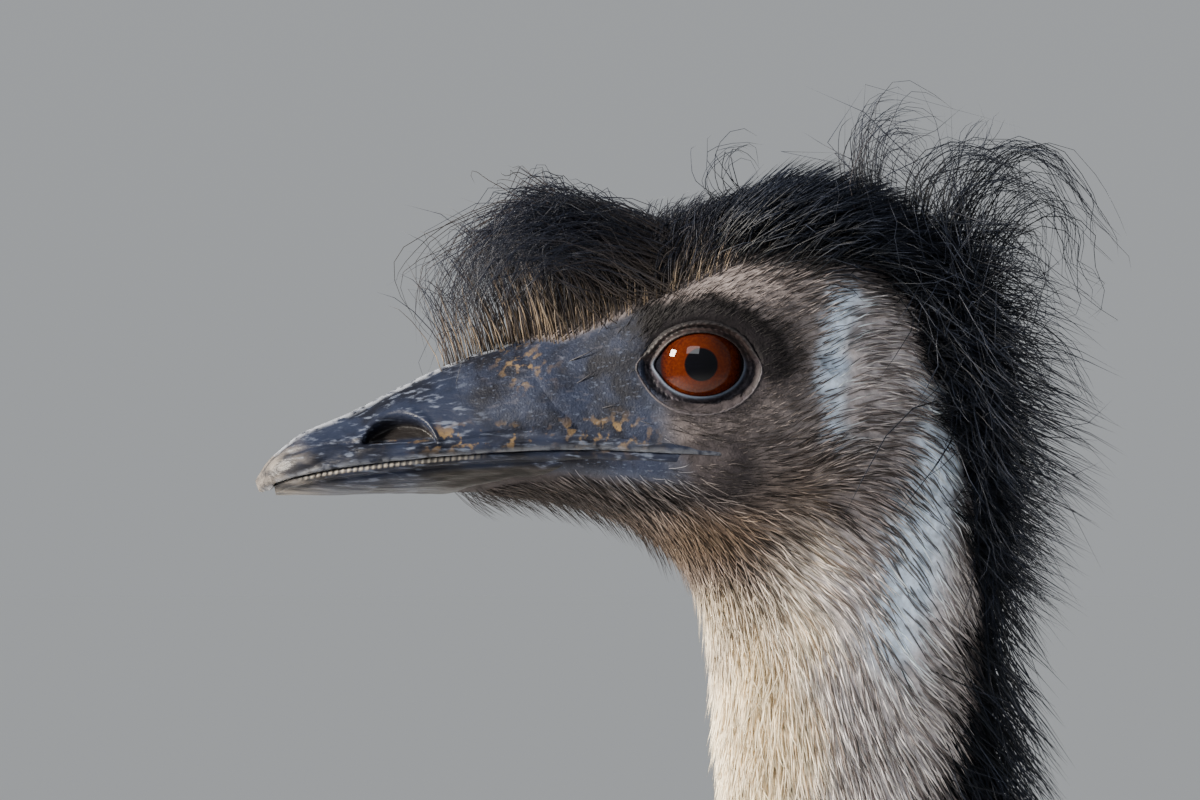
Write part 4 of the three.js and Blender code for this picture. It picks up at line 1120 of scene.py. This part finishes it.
def build_bill(material):
    """The two halves of the bill, each with its own closed edge along the mouth."""
    share = ramp(BILL_OUTSIDE)
    inner_share = ramp(BILL_INSIDE + 2)[:, 1:-1]
    hollow = np.minimum(4 * inner_share * (1 - inner_share), 1)
    for name, half in BILL_HALVES.items():
        sign = half["sign"]
        stations = even_stations(body, half["start"], BILL_END, lambda t: np.interp(t, *BILL_SPACING))
        meet = mouth_angles(stations, half["shift"])[:, None]
        aa = lerp(meet, sign * math.pi - meet, share)
        tt = np.repeat(stations[:, None], BILL_OUTSIDE, axis=1)
        p = body.point(tt, aa)
        relief, marks = horn_relief(p)
        behind = behind_bill(p)
        inset = 0.0 if sign > 0 else -0.45 * smooth(tt, 0.8, 2.0) * smooth(behind, -2, -8)
        edge = 0.5 * (smooth(share, 0.02, 0.0) + smooth(share, 0.98, 1.0))
        own_relief = head_relief(p) * smooth(behind, -10, -1)
        sunk = 0.35 * smooth(behind, -3, 3) + 2.4 * smooth(behind, 1.2, 4.5) - own_relief
        outer = body.point(tt, aa, relief + inset - edge - sunk)
        inner = lerp(outer[:, -1:], outer[:, :1], inner_share[..., None])
        inner[..., 2] += sign * 1.2 * hollow * smooth(tt[:, :1], 0.4, 2.5)
        vertices, faces = closed_tube(np.concatenate([outer, inner], axis=1))
        marks = {key: with_ends(np.pad(value, ((0, 0), (0, BILL_INSIDE)))) for key, value in marks.items()}
        piece = mesh_object(f"horn_bill_{name}", vertices, faces, material, marks)
        finish_piece(piece, "bill", f"bill_{name}")


# Eyes and lids
EYEBALL = {"y": 15.2, "radius": 13.0, "rings": 70, "around": 84, "pole": 0.02}
IRIS = 8.8
CORNEA = 0.9


def build_eyes(eye_material, lid_material):
    turns = np.linspace(0, 2 * math.pi, EYEBALL["around"], endpoint=False)
    polars = np.linspace(EYEBALL["pole"], math.pi - EYEBALL["pole"], EYEBALL["rings"])
    polar, turn = np.meshgrid(polars, turns, indexing="ij")
    flat = EYEBALL["radius"] * np.sin(polar)
    radius = EYEBALL["radius"] + np.where(polar < math.pi / 2, CORNEA * smooth(flat, 9.6, 4.5), 0)
    x = EYE["x"] + radius * np.sin(polar) * np.cos(turn)
    z = EYE["z"] + radius * np.sin(polar) * np.sin(turn)
    marks = {"radial": with_ends(np.where(polar < math.pi / 2, flat / IRIS, 2.0), 0, 2)}
    for name, side in SIDES.items():
        vertices, faces = closed_tube(vec(x, side * (EYEBALL["y"] + radius * np.cos(polar)), z))
        ball = mesh_object(f"eyeball_{name}", vertices, faces, eye_material, marks)
        finish_piece(ball, "eye", f"eye_{name}")
        build_lids(name, side, lid_material)


LID_CREST = np.linspace(1.0, LIDS["wide"], 22)
LID_OUT = np.concatenate([[0.9, 0.3, 0.0, 0.0, 0.15, 0.4, 0.7], LID_CREST, [LIDS["wide"], 3.2, 1.8]])
LID_RISE = np.concatenate([[-1.3, -0.9, -0.4, 0.1, 0.45, 0.6, 0.66], 0 * LID_CREST, [-1.6, -2.0, -1.8]])


def build_lids(name, side, material):
    """A closed ring of both lids, from the opening's edge on the eyeball out into the skin."""
    turn = np.linspace(0, 2 * math.pi, 200, endpoint=False)[:, None]
    out, rise = LID_OUT[None, :], LID_RISE[None, :]
    upper = smooth(np.sin(turn), -0.15, 0.35)
    lower = 1 - upper
    reach_out = out * lerp(1, LIDS["upper"], upper)
    x = np.cos(turn) * (LIDS["long"] + reach_out) - 0.9 * peak(turn - math.pi, 0.28)
    z = np.sin(turn) * (LIDS["high"] + reach_out)
    waves = 0.55 * smooth(LID_CREST, 1.9, 0.9) + lerp(0.12, 0.7, upper) * peak(LID_CREST - 2.9, 0.75)
    fold = np.pad(waves + lower * 0.3 * peak(LID_CREST - 4.1, 0.35), ((0, 0), (7, 3)))
    reach = EYEBALL["radius"] + CORNEA * smooth(np.hypot(x, z), 9.6, 4.5) + 0.15
    on_ball = EYEBALL["y"] + np.sqrt(np.maximum(reach**2 - x**2 - z**2, 4))
    on_skin = skin_height(x, z)
    y = np.maximum(lerp(on_ball, on_skin + 0.1, smooth(out, 0.6, 4.2)), on_ball) + rise + fold
    crinkle = 0.1 * np.sin(turn * 46 + 3 * np.sin(out * 1.7)) * smooth(out, 0.8, 1.8)
    crinkle = crinkle * smooth(out, LIDS["wide"], 3.5)
    buried = 0.6 * smooth(out, LIDS["wide"] - 1.4, LIDS["wide"])
    y = np.where(out >= LIDS["wide"] - 0.01, on_skin - 0.8 + np.minimum(rise, 0), y + crinkle - buried)
    grid = vec(EYE["x"] + x, side * y, EYE["z"] + z)
    rings, around = grid.shape[:2]
    i, j = np.arange(rings)[:, None], np.arange(around)[None, :]
    quads = band_quads(i, j, (i + 1) % rings, (j + 1) % around, around)[:, (0, 3, 2, 1)]
    vertices = grid.reshape(-1, 3)
    marks = {
        "upper": upper,
        "brow": upper * smooth(out, 2.6, 3.6),
        "crease": peak(out - 4.1, 0.3) * lower * smooth(np.sin(turn), -0.2, -0.7),
        # The lower lid's rim: its own blue-grey, with a painted highlight, on the lower lid alone.
        "rim": smooth(out, 0.85, 0.4) * smooth(out, 0.0, 0.25) * lower,
        # Painted shade along the lids' inner edge against the eyeball.
        "lid_edge_shade": smooth(out, 0.22, 0.05) * smooth(rise, 0.3, -0.3),
    }
    marks = {key: np.broadcast_to(value, x.shape) for key, value in marks.items()}
    lids = mesh_object(f"eyelids_{name}", vertices, outward(vertices, triangles(quads)), material, marks)
    finish_piece(lids, "head_skin")


def skin_height(x, z):
    """How far out the skin lies from the middle plane at places in side view, from the eye."""
    tt, aa = np.meshgrid(np.linspace(6, 11, 220), np.linspace(-1.2, 1.2, 140), indexing="ij")
    filled = PIT["deep"] * smooth(opening(body.point(tt, aa)), *PIT["edge"])
    skin_places = body.point(tt, aa, skin_offset(tt, aa) + filled).reshape(-1, 3)
    tree = KDTree(len(skin_places))
    for i, place in enumerate(skin_places):
        tree.insert((place[0], 0, place[2]), i)
    tree.balance()
    heights = []
    for px, pz in zip(x.ravel(), z.ravel()):
        near = tree.find_n((EYE["x"] + px, 0, EYE["z"] + pz), 6)
        weight = np.array([1 / (far + 0.05) ** 2 for _, _, far in near])
        heights.append(np.dot(skin_places[[i for _, i, _ in near], 1], weight) / weight.sum())
    return np.reshape(heights, x.shape)


# Coat of the head and neck
def ranged(rng, low, high, count):
    return low + (high - low) * rng.random(count)


def comb_coat(seed, count, t_range, weight, length, rise, width, steps, spread, bend,
              lie=whole_lie, scale=None, lift=0.7):
    """A combed layer of strands. Length, rise and width are (least, most) in millimetres."""
    rng = np.random.default_rng(seed)
    t, a = scatter(count, t_range, seed + 1, weight)
    factor = 1 if scale is None else scale(t, a, body.point(t, a))
    length, rise, width = (ranged(rng, *given, len(t)) * factor for given in (length, rise, width))
    paths, normals = combed(t, a, length, rise, lie, steps, rng, spread, lift)
    return grown(t, a, sway(paths, normals, rng, bend * length), normals, width, rng)


def all_black(made):
    """The same strands, black also where they stand at the black's edge."""
    made["marks"]["black"] = np.ones_like(made["width"])
    return made


def clear_of_eye_and_bill(p, eye_low, eye_high):
    return smooth(opening(p), eye_low, eye_high) * smooth(behind_bill(p), 0.0, 3.0)


def down_weight(t, a, p):
    marks = markings(t, a, p)
    clear = (1 - marks["bare"]) * (1 - 0.85 * marks["blue"]) * (1 - 0.8 * marks["black"])
    return clear * clear_of_eye_and_bill(p, 1.35, 1.9) * (1 + 0.9 * marks["cream"] + 0.5 * marks["brown"])


def shaft_weight(t, a, p):
    marks = markings(t, a, p)
    thick = 1 + 3.4 * marks["brow"] + 0.6 * marks["brown"] + 0.6 * marks["dusk"] - 0.55 * marks["cream"]
    thick = thick * (1 - 0.6 * marks["blue"]) * (1 - 0.25 * marks["lilac"])
    return (1 - 0.97 * marks["bare"]) * clear_of_eye_and_bill(p, 1.3, 1.6) * thick


def head_scale(t, a, p):
    """Strands are smallest round the eye and the mouth, and longer down the neck."""
    x, z = from_eye(p)
    near_eye = smooth(np.hypot(x / 1.2, z), 12, 34)
    near_gape = smooth(np.hypot(x - 2, z + 22), 4, 22)
    return 0.45 + 0.55 * np.minimum(near_eye, near_gape) + 0.35 * smooth(t, 12, 16)


def throat_weight(t, a, p):
    return smooth(np.sin(a), -0.30, -0.8) * smooth(behind_bill(p), 0.5, 6) * (1 - 0.4 * smooth(t, 8, 5))


def throat_scale(t, a, p):
    return 0.6 + 0.5 * smooth(t, 7, 13)


def bristle_weight(t, a, p):
    return smooth(np.sin(a), -0.80, -0.95) * smooth(t, 3.6, 4.6) * smooth(behind_bill(p), -2, 1)


def crown_weight(t, a, p):
    return markings(t, a, p)["black"] * (t < 13.4) * smooth(t, 7.4, 8.6)


def crown_scale(t, a, p):
    return 0.5 + 0.55 * smooth(t, 7.9, 8.8) * smooth(t, 13.2, 12) * smooth(np.sin(a), 0.3, 0.8)


def build_face_coat(down, shafts, black):
    made = comb_coat(10, 20500, (5.0, 17.4), down_weight, (6, 10), (0.5, 1.6), (0.30, 0.50), 3, 0.10, 0.04,
                     scale=head_scale)
    add_coat("down_face", made, down, "neck_plumage")
    made = comb_coat(20, 13200, (5.0, 17.4), shaft_weight, (7.5, 12), (0.6, 1.6), (0.30, 0.44), 4, 0.07, 0.05,
                     scale=head_scale)
    add_coat("shafts_face", made, shafts, "head_skin")
    made = comb_coat(30, 5300, (4.4, 17.4), throat_weight, (7, 13), (2.0, 5.5), (0.22, 0.40), 4, 0.2, 0.08,
                     scale=throat_scale)
    add_coat("down_throat", made, down, "neck_plumage")
    made = comb_coat(40, 500, (3.4, 8.5), bristle_weight, (5, 10), (1.5, 6.5), (0.14, 0.22), 4, 0.3, 0.1)
    add_coat("bristles_chin", made, shafts, "head_skin")
    made = comb_coat(50, 5800, (7.4, 13.4), crown_weight, (9, 17), (3.5, 13), (0.26, 0.42), 4, 0.34, 0.16,
                     scale=crown_scale)
    add_coat("crown", all_black(made), black, "head_skin")


# Forelock
FORELOCK_ROOT = -0.8
EDGE_SHAPE = [(0, 0, 0), (0.2, 0.05, 8.5), (0.6, 0.3, 17), (1.1, 0.7, 24), (1.7, 1.1, 27.5)]
ARCH = [
    (0, 0, 0), (-8, 0.1, 0.38), (-21, 0.3, 0.85), (-33, 0.55, 1.0), (-44, 0.8, 0.78), (-52, 0.95, 0.2),
    (-57, 1.05, -0.7), (-58, 1.1, -1.7), (-52, 1.15, -2.4),
]


def forelock_group(name, t, a, paths, width, rng, fair, material):
    normals = unit(paths - np.array([EYE["x"] - 10, 0, EYE["z"] - 10]))
    made = grown(t, a, paths, normals, width, rng, thick=0.8, taper=(0.8, 0.1, 0.3), marks={"fair": fair})
    add_coat(name, made, material, "head_skin")


def edge_weight(t, a, p):
    x, _ = from_eye(p)
    return smooth(above_forehead(p), 0.0, 1.2) * smooth(x, -58, -52) * smooth(x, 20, 6)


def top_weight(t, a, p):
    return smooth(np.sin(a), 0.45, 0.8)


def build_forelock(material):
    """Strands that rise along the forehead's edge, under long ones that arch forwards from the crown."""
    rng = np.random.default_rng(60)
    t, a = scatter(3300, (4.4, 9.6), 61, edge_weight)
    count = len(t)
    root = skin_point(t, a, FORELOCK_ROOT)
    x, y = root[:, 0] - EYE["x"], root[:, 1]
    tall = ranged(rng, 0.55, 1.22, count)
    tall = tall * np.interp(x, [-56, -42, -30, -15, 0, 18], [0.8, 1.0, 0.9, 0.5, 0.36, 0.26])
    lean = np.interp(x, [-56, -42, -26, -10, 5], [-1.45, -1.1, -0.75, 0.1, 0.7]) + rng.normal(0, 0.3, count)
    curl = rng.normal(0.95, 0.5, count) * np.interp(x, [-56, -20, 5], [1.1, 0.7, 0.3])
    inwards = -np.sign(y) * np.minimum(np.abs(y), 9) * 0.4
    course = []
    for forward, over, high in EDGE_SHAPE:
        along = (lean * forward * 10 + curl * forward**2 * 6) * tall
        across = inwards * over + forward * rng.normal(0, 1.4, count)
        course.append(root + vec(along, across, high * tall * (1 - 0.12 * np.abs(curl) * forward)))
    paths = spline(np.stack(course, axis=1), 6)
    fair = np.clip(smooth(above_forehead(root), 9, 1) + 0.12, 0, 1)
    forelock_group("forelock_edge", t, a, paths, ranged(rng, 0.18, 0.32, count), rng, fair, material)

    t, a = scatter(1150, (7.0, 8.3), 62, top_weight)
    count = len(t)
    root = skin_point(t, a, FORELOCK_ROOT)
    longest = rng.random(count) < 0.10
    keep = np.where(longest, ranged(rng, 0.7, 1.0, count), 0.3 + 0.4 * rng.random(count))
    reach = np.where(longest, ranged(rng, 0.90, 1.10, count), ranged(rng, 0.62, 1.02, count))
    start = np.interp(t, [7.0, 8.3], [0.45, 0.98])
    out = np.sign(root[:, 1] + rng.normal(0, 5, count)) * ranged(rng, 2, 13, count)
    level = np.interp(t, [7.0, 7.6, 8.3], [26, 17, 8])
    lift = ranged(rng, 0.5, 1.1, count)
    course = []
    for ahead, over, high in ARCH:
        drop = max(0.2 - high, 0) * (11 - level)
        shift = vec(ahead * start * reach, out * over, high * level * lift - drop)
        course.append(root + shift + rng.normal(0, 0.5 + 0.04 * abs(ahead), (count, 3)))
    paths = trimmed(spline(np.stack(course, axis=1), 25), keep, 9)
    fair = np.full(count, 0.05)
    forelock_group("forelock_top", t, a, paths, ranged(rng, 0.20, 0.32, count), rng, fair, material)


def trimmed(paths, share, steps):
    """The first share of each path, as a given number of steps."""
    at = share[:, None] * ramp(steps) * (paths.shape[1] - 1)
    i = np.minimum(at.astype(int), paths.shape[1] - 2)
    f = (at - i)[..., None]
    rows = np.arange(len(paths))[:, None]
    return paths[rows, i] * (1 - f) + paths[rows, i + 1] * f


# Loose curled plumes of the crest: courses in side view from the eye, a place across, and a number of strands
CURLS = [
    ([(43, 33), (34, 43), (36, 53), (44, 57), (55, 53)], -8, 30),
    ([(44, 31), (38, 42), (41, 50), (48, 50), (50, 44)], 6, 24),
    ([(46, 30), (47, 42), (56, 48), (66, 45), (69, 37), (64, 32)], -3, 30),
    ([(48, 26), (56, 38), (67, 41), (76, 35), (77, 27)], -6, 30),
    ([(48, 28), (55, 41), (66, 49.5), (76, 47), (82, 38), (86, 31), (90, 25), (93, 19)], -2, 34),
    ([(52, 24), (62, 37), (74, 41), (81, 33), (82, 22), (88, 15), (82, 10)], 4, 22),
    ([(49, 30), (56, 44), (61, 52), (66, 56)], 1, 14),
    ([(50, 22), (61, 31), (71, 30), (74, 22), (68, 18)], 7, 26),
    ([(50, 20), (62, 24), (73, 20), (80, 10)], -9, 26),
    ([(52, 12), (64, 14), (75, 8), (84, -3), (90, -14)], 3, 18),
    ([(54, 4), (66, 4), (76, -4), (83, -10)], -5, 22),
    ([(9, 32), (1, 38), (0, 45), (6, 49), (14, 45)], -4, 7),
    ([(12, 33), (6, 38), (5, 44), (10, 46), (13, 41)], 5, 6),
    ([(-26, 30), (-40, 42), (-46, 42), (-44, 38)], -2, 7),
    ([(-22, 30), (-41, 40), (-56, 33), (-64.5, 25), (-66, 17), (-62.7, 9.5), (-55.7, 3.5)], -7, 4),
    ([(-24, 28), (-40, 37), (-52, 31), (-58, 22), (-58, 12), (-53, 4)], 4, 6),
    ([(-26, 26), (-42, 33), (-52, 27), (-57, 16), (-56, 6)], -10, 6),
    ([(-30, 22), (-44, 30), (-51, 24), (-54, 12), (-52, 3)], -3, 8),
]
CURL_STEPS = 12
CURL_ROOTS = ((-30, -20, 10, 36, 46, 54), (7.4, 8.0, 9.0, 10.4, 11.2, 12.4))


def build_curls(material):
    rng = np.random.default_rng(70)
    paths = []
    for course, across, number in CURLS:
        number = max(int(number * DENSITY), 3)
        guide = np.array([(EYE["x"] + x, across, EYE["z"] + z) for x, z in course], float)
        s = ramp(len(course))[..., None]
        loose = rng.normal(0, 1, (number, len(course), 3)) * (1.2, 2.4, 1.2) * (0.5 + s)
        drift = rng.normal(0, 1, (number, 1, 3)) * (1.6, 3.0, 1.6)
        whole = spline(guide[None] + loose + drift, 40)
        paths.append(trimmed(whole, ranged(rng, 0.55, 1.0, number), CURL_STEPS))
    paths = np.concatenate(paths)
    count = len(paths)
    crimp = rng.random((count, 1, 3)) * 6.3
    s = ramp(CURL_STEPS)[..., None]
    paths = paths + 0.7 * s * np.sin(crimp + s * ranged(rng, 7, 15, count)[:, None, None])
    t = np.interp(paths[:, 0, 0] - EYE["x"], *CURL_ROOTS)
    a = math.pi / 2 - paths[:, 0, 1] / 28
    paths = paths + (skin_point(t, a, -1.0) - paths[:, 0])[:, None, :] * (1 - s) ** 3
    normals = unit(np.gradient(paths, axis=1)[..., (2, 1, 0)] * (-1, 0, 1) + (0, 0.5, 0))
    made = grown(t, a, paths, normals, ranged(rng, 0.18, 0.28, count), rng, thick=0.8, taper=(0.9, 0.1, 0.35))
    add_coat("crest_curls", made, material, "head_skin")


def ruff_weight(t, a, p):
    return markings(t, a, p)["black"] * smooth(np.sin(a), -0.1, 0.5) * smooth(t, 10.0, 10.8)


def ruff_lie(p):
    return unit(vec(1, np.sign(p[..., 1]) * 0.25, lerp(0.28, -0.42, smooth(p[..., 2] - EYE["z"], 34, -10))))


def ruff_scale(t, a, p):
    return (0.55 + 0.45 * smooth(np.sin(a), 0.3, 0.9)) * (1 - 0.3 * smooth(t, 12.5, 14))


def nape_weight(t, a, p):
    return markings(t, a, p)["black"] * smooth(t, 11.8, 12.8)


def nape_lie(p):
    down = -0.55 - 0.3 * smooth(p[..., 2] - EYE["z"], 0, -60)
    return unit(vec(0.75, np.sign(p[..., 1]) * 0.12, down))


def nape_scale(t, a, p):
    return 0.5 + 0.5 * smooth(np.sin(a), 0.2, 0.9)


def build_nape(material):
    """The black shag behind the crown and down the back of the neck, which stands off it and turns down."""
    made = comb_coat(85, 2500, (10.0, 14.2), ruff_weight, (20, 38), (12, 27), (0.24, 0.40), 6, 0.36, 0.34,
                     lie=ruff_lie, scale=ruff_scale, lift=0.85)
    add_coat("ruff", all_black(made), material, "neck_plumage")
    made = comb_coat(80, 4600, (11.6, 18.2), nape_weight, (18, 34), (6, 17), (0.30, 0.48), 5, 0.24, 0.14,
                     lie=nape_lie, scale=nape_scale, lift=0.9)
    add_coat("nape", all_black(made), material, "neck_plumage")


# Coat of the lower neck, body and legs
def locks_coat(seed, groups, per, t_range, weight, length, rise, width, steps, lie, gather, spread, bend, gap,
               fall=None, sweep=body, offset=skin_offset, marks_of=None, map_of=body_map):
    """Strands in locks: each lock's strands start near one another and draw together towards their tips."""
    rng = np.random.default_rng(seed)
    t, a = scatter(groups, t_range, seed + 1, weight, sweep, offset)
    groups = len(t)
    index = np.repeat(np.arange(groups), per)
    count = len(index)
    along, around, _ = sweep.basis(t, a)
    dt, da = (gap / np.maximum(np.linalg.norm(way, axis=-1), 4) for way in (along, around))
    t = np.clip(t[index] + rng.normal(0, 0.5, count) * dt[index], 0.3, sweep.last - 0.3)
    a = a[index] + rng.normal(0, 0.5, count) * da[index]
    long = ranged(rng, *length, groups)[index] * ranged(rng, 0.82, 1.08, count)
    high = ranged(rng, *rise, groups)[index] + rng.normal(0, 0.06, count) * length[1]
    wide = ranged(rng, *width, count)
    turn = rng.normal(0, spread, (groups, 3))[index] * (1, 0.6, 1)
    heights = -LOCK_SINK + (high[:, None] + LOCK_SINK) * ramp(steps) ** 0.6
    paths, normals = walk(t, a, lambda p: unit(lie(p)) + turn, long, heights, sweep, offset, fall)
    paths = held_back(sway(gathered(paths, index, gather), normals, rng, bend * long, 1.6))
    marks = None if marks_of is None else marks_of(t)
    root = map_of(t, a)
    return grown(t, a, paths, normals, wide, rng, thick=0.5, taper=(0.5, 0.3, 0.3), root=root, marks=marks)


FALL = np.array([0.35, 0.2, 1.0])
LOCK_SINK = 2.0
REACH = ({"axis": 0, "free": 395, "most": 455}, {"axis": 1, "free": 190, "most": 237})


def held_back(paths):
    """The paths, with what reaches far behind or to the sides drawn in softly to stay in the frame."""
    for limit in REACH:
        value = paths[..., limit["axis"]]
        room = limit["most"] - limit["free"]
        over = np.maximum(np.abs(value) - limit["free"], 0)
        drawn = limit["free"] + room * (1 - np.exp(-over / room))
        paths[..., limit["axis"]] = np.where(over > 0, np.sign(value) * drawn, value)
    return paths


def low_neck_weight(t, a, p):
    return smooth(t, 17.0, 18.0) * smooth(t, 22.8, 21.8)


def torso_weight(t, a, p):
    return smooth(t, 21.6, 22.6) * (1 - 0.5 * smooth(np.sin(a), -0.7, -0.95))


def rump_weight(t, a, p):
    return smooth(np.sin(a), -0.98, -0.6) * (1 + 2 * smooth(t, 29.8, 30.6))


def even_weight(t, a, p):
    return 1 + 0 * t


def tail_lie(p):
    """The rump's plumes turn over its end and hang."""
    over = smooth(p[..., 0], 250, 360)
    return unit(vec(lerp(0.8, 0.12, over), 0.25 * np.clip(p[..., 1] / 90, -1, 1), -0.95))


# A name, then what locks_coat takes, in its order
BODY_LAYERS = [
    ("neck_mid", 100, 560, 11, (16.8, 20.4), low_neck_weight, (26, 46), (4, 10), (0.7, 1.1), 4, body_lie,
     0.30, 0.10, 0.05, 8),
    ("neck_low", 110, 350, 11, (19.4, 23.0), low_neck_weight, (66, 112), (12, 26), (1.2, 1.9), 5, body_lie,
     0.35, 0.12, 0.05, 15),
    ("body_under", 120, 330, 9, (22.0, 30.2), torso_weight, (140, 205), (14, 30), (2.6, 4.4), 5, body_lie,
     0.30, 0.14, 0.05, 32),
    ("body_over", 130, 600, 11, (22.0, 29.9), torso_weight, (150, 235), (30, 48), (1.7, 3.0), 6, body_lie,
     0.45, 0.16, 0.06, 22),
    ("tail_plumes", 140, 128, 12, (27.6, 30.9), rump_weight, (150, 220), (22, 36), (1.8, 3.0), 6, tail_lie,
     0.5, 0.12, 0.06, 20),
    ("tail_tuft", 145, 30, 12, (29.9, 30.95), even_weight, (150, 220), (22, 36), (1.8, 3.0), 6, tail_lie,
     0.5, 0.12, 0.06, 20),
]


def build_body_coat(material):
    for name, *layer in BODY_LAYERS:
        slot = "neck_plumage" if name.startswith("neck") else "body_plumage"
        add_coat(name, locks_coat(*layer, fall=FALL), material, slot)


WING_RISE = 0.24


def wing_lie(p):
    return unit(vec(0.75, np.sign(p[..., 1]) * 0.1, -0.72))


def build_wings(material):
    """The small wings: a bunch of long loose plumes on each side, drooping from the front of the flank."""
    for name, side in SIDES.items():
        middle = WING_RISE if side > 0 else math.pi - WING_RISE

        def bunch(t, a, p):
            return bump(t, np.angle(np.exp(1j * (a - middle))), 24.1, 0, 0.55, 0.12)

        made = locks_coat(150 + side, 22, 12, (23.2, 25.2), bunch, (150, 225), (44, 62), (1.6, 2.6), 6,
                          wing_lie, 0.55, 0.07, 0.04, 10, fall=FALL)
        add_coat(f"wing_plumes_{name}", made, material, "body_plumage")


def thigh_weight(t, a, p):
    return smooth(t, 5.7, 4.6)


def thigh_marks(t):
    return {key: np.full(len(t), float(key == "body")) for key in MARKS}


def thigh_lie(p):
    return unit(vec(0.3, 0 * p[..., 1], -1.0))


def build_thighs(material):
    last, rows = LEG_SPAN[1], LEG_MAP["leg"]
    for name, side in SIDES.items():
        to_map = functools.partial(leg_map, name, last=last, low=rows[0], high=rows[1])
        made = locks_coat(160 + side, 120, 11, (0.8, 5.8), thigh_weight, (60, 105), (6, 13), (1.3, 2.2), 5,
                          thigh_lie, 0.4, 0.1, 0.05, 12, sweep=legs[name], offset=leg_offset,
                          marks_of=thigh_marks, map_of=to_map)
        add_coat(f"thigh_{name}_plumes", made, material, "body_plumage")


# Stage
FLOOR = {"radius": 90_000, "height": -0.5, "corners": 96, "colour": (0.832, 0.832, 0.829)}
SKY = {"level": 0.40, "above": 0.50, "height": 0.8, "colour": (0.93, 0.965, 1.0)}

# A name, a place, a target, a size, a power and a colour
LIGHTS = [
    ("key", (-3.2, -0.6, 2.8), (-0.34, 0, 1.4), (0.9, 0.7), 600, (1.0, 0.92, 0.80)),
    ("window", (-1.3, -3.4, 3.4), (-0.34, 0, 1.3), (1.6, 1.0), 50, (0.92, 0.96, 1.0)),
    ("back", (1.6, 3.2, 3.0), (0, 0, 1.0), (2.4, 2.0), 80, (1, 1, 1)),
]


def aim(obj, at, target):
    obj.location = at
    obj.rotation_euler = (Vector(target) - Vector(at)).to_track_quat("-Z", "Y").to_euler()
    bpy.context.scene.collection.objects.link(obj)


def area_light(name, at, target, size, power, colour):
    light = bpy.data.lights.new(name, "AREA")
    light.shape = "RECTANGLE"
    light.size, light.size_y = size
    light.energy = power
    light.color = colour
    obj = bpy.data.objects.new(name, light)
    obj.visible_camera = False
    aim(obj, at, target)


def build_stage():
    floor_look = Look("studio_floor", 0.9, 0.1)
    floor_look.colour(FLOOR["colour"])
    ring = np.linspace(0, 2 * math.pi, FLOOR["corners"], endpoint=False)
    vertices = vec(FLOOR["radius"] * np.cos(ring), FLOOR["radius"] * np.sin(ring), FLOOR["height"])
    mesh_object("floor", vertices, np.arange(len(ring))[None, :], floor_look.material)
    world = bpy.data.worlds.new("studio")
    world.use_nodes = True
    nodes, links = world.node_tree.nodes, world.node_tree.links
    place = nodes.new("ShaderNodeTexCoord")
    split = nodes.new("ShaderNodeSeparateXYZ")
    height = nodes.new("ShaderNodeMapRange")
    for socket, value in zip(height.inputs[1:], (0.0, SKY["height"], SKY["level"], SKY["above"])):
        socket.default_value = value
    background = nodes["Background"].inputs
    background["Color"].default_value = (*SKY["colour"], 1)
    links.new(place.outputs["Generated"], split.inputs[0])
    links.new(split.outputs[2], height.inputs["Value"])
    links.new(height.outputs[0], background["Strength"])
    bpy.context.scene.world = world
    for light in LIGHTS:
        area_light(*light)


def build_camera():
    """Level with the head and square to its left side, framed as the photograph is."""
    middle_x = EYE["x"] + (IMAGE[0] / 2 - EYE_PIXEL[0]) * PIXEL
    middle_z = EYE["z"] + (EYE_PIXEL[1] - IMAGE[1] / 2) * PIXEL
    camera = bpy.data.cameras.new("camera")
    camera.sensor_width = SENSOR
    camera.lens = SENSOR * CAMERA_FAR / (IMAGE[0] * PIXEL)
    camera.clip_end = 500
    obj = bpy.data.objects.new("camera", camera)
    aim(obj, (middle_x * MM, -CAMERA_FAR * MM, middle_z * MM), (middle_x * MM, 0, middle_z * MM))
    bpy.context.scene.camera = obj


FLESH_NODES = [
    "head", "neck_upper", "neck_middle", "neck_lower", "torso", "tail", "wing_left", "wing_right",
    "thigh_left", "thigh_right", "shank_left", "shank_right", "foot_left", "foot_right",
]

skin = build_skin()
finish_piece(skin, "head_skin", *FLESH_NODES)
build_bill(horn_look())
build_eyes(eye_look(), lid_look())
build_claws(claw_look())

down_material = coat_look("down", DOWN_COLOURS, 0.7, 0.2, (0.86, 1.12))
shaft_material = coat_look("shafts", SHAFT_COLOURS, 0.5, 0.2)
black_material = coat_look("black_plumage", SHAFT_COLOURS, 0.45, 0.14)
plume_material = coat_look("plumes", DOWN_COLOURS, 0.6)
build_face_coat(down_material, shaft_material, black_material)
build_forelock(forelock_look())
build_curls(black_material)
build_nape(black_material)
build_body_coat(plume_material)
build_wings(plume_material)
build_thighs(plume_material)

build_stage()
build_camera()
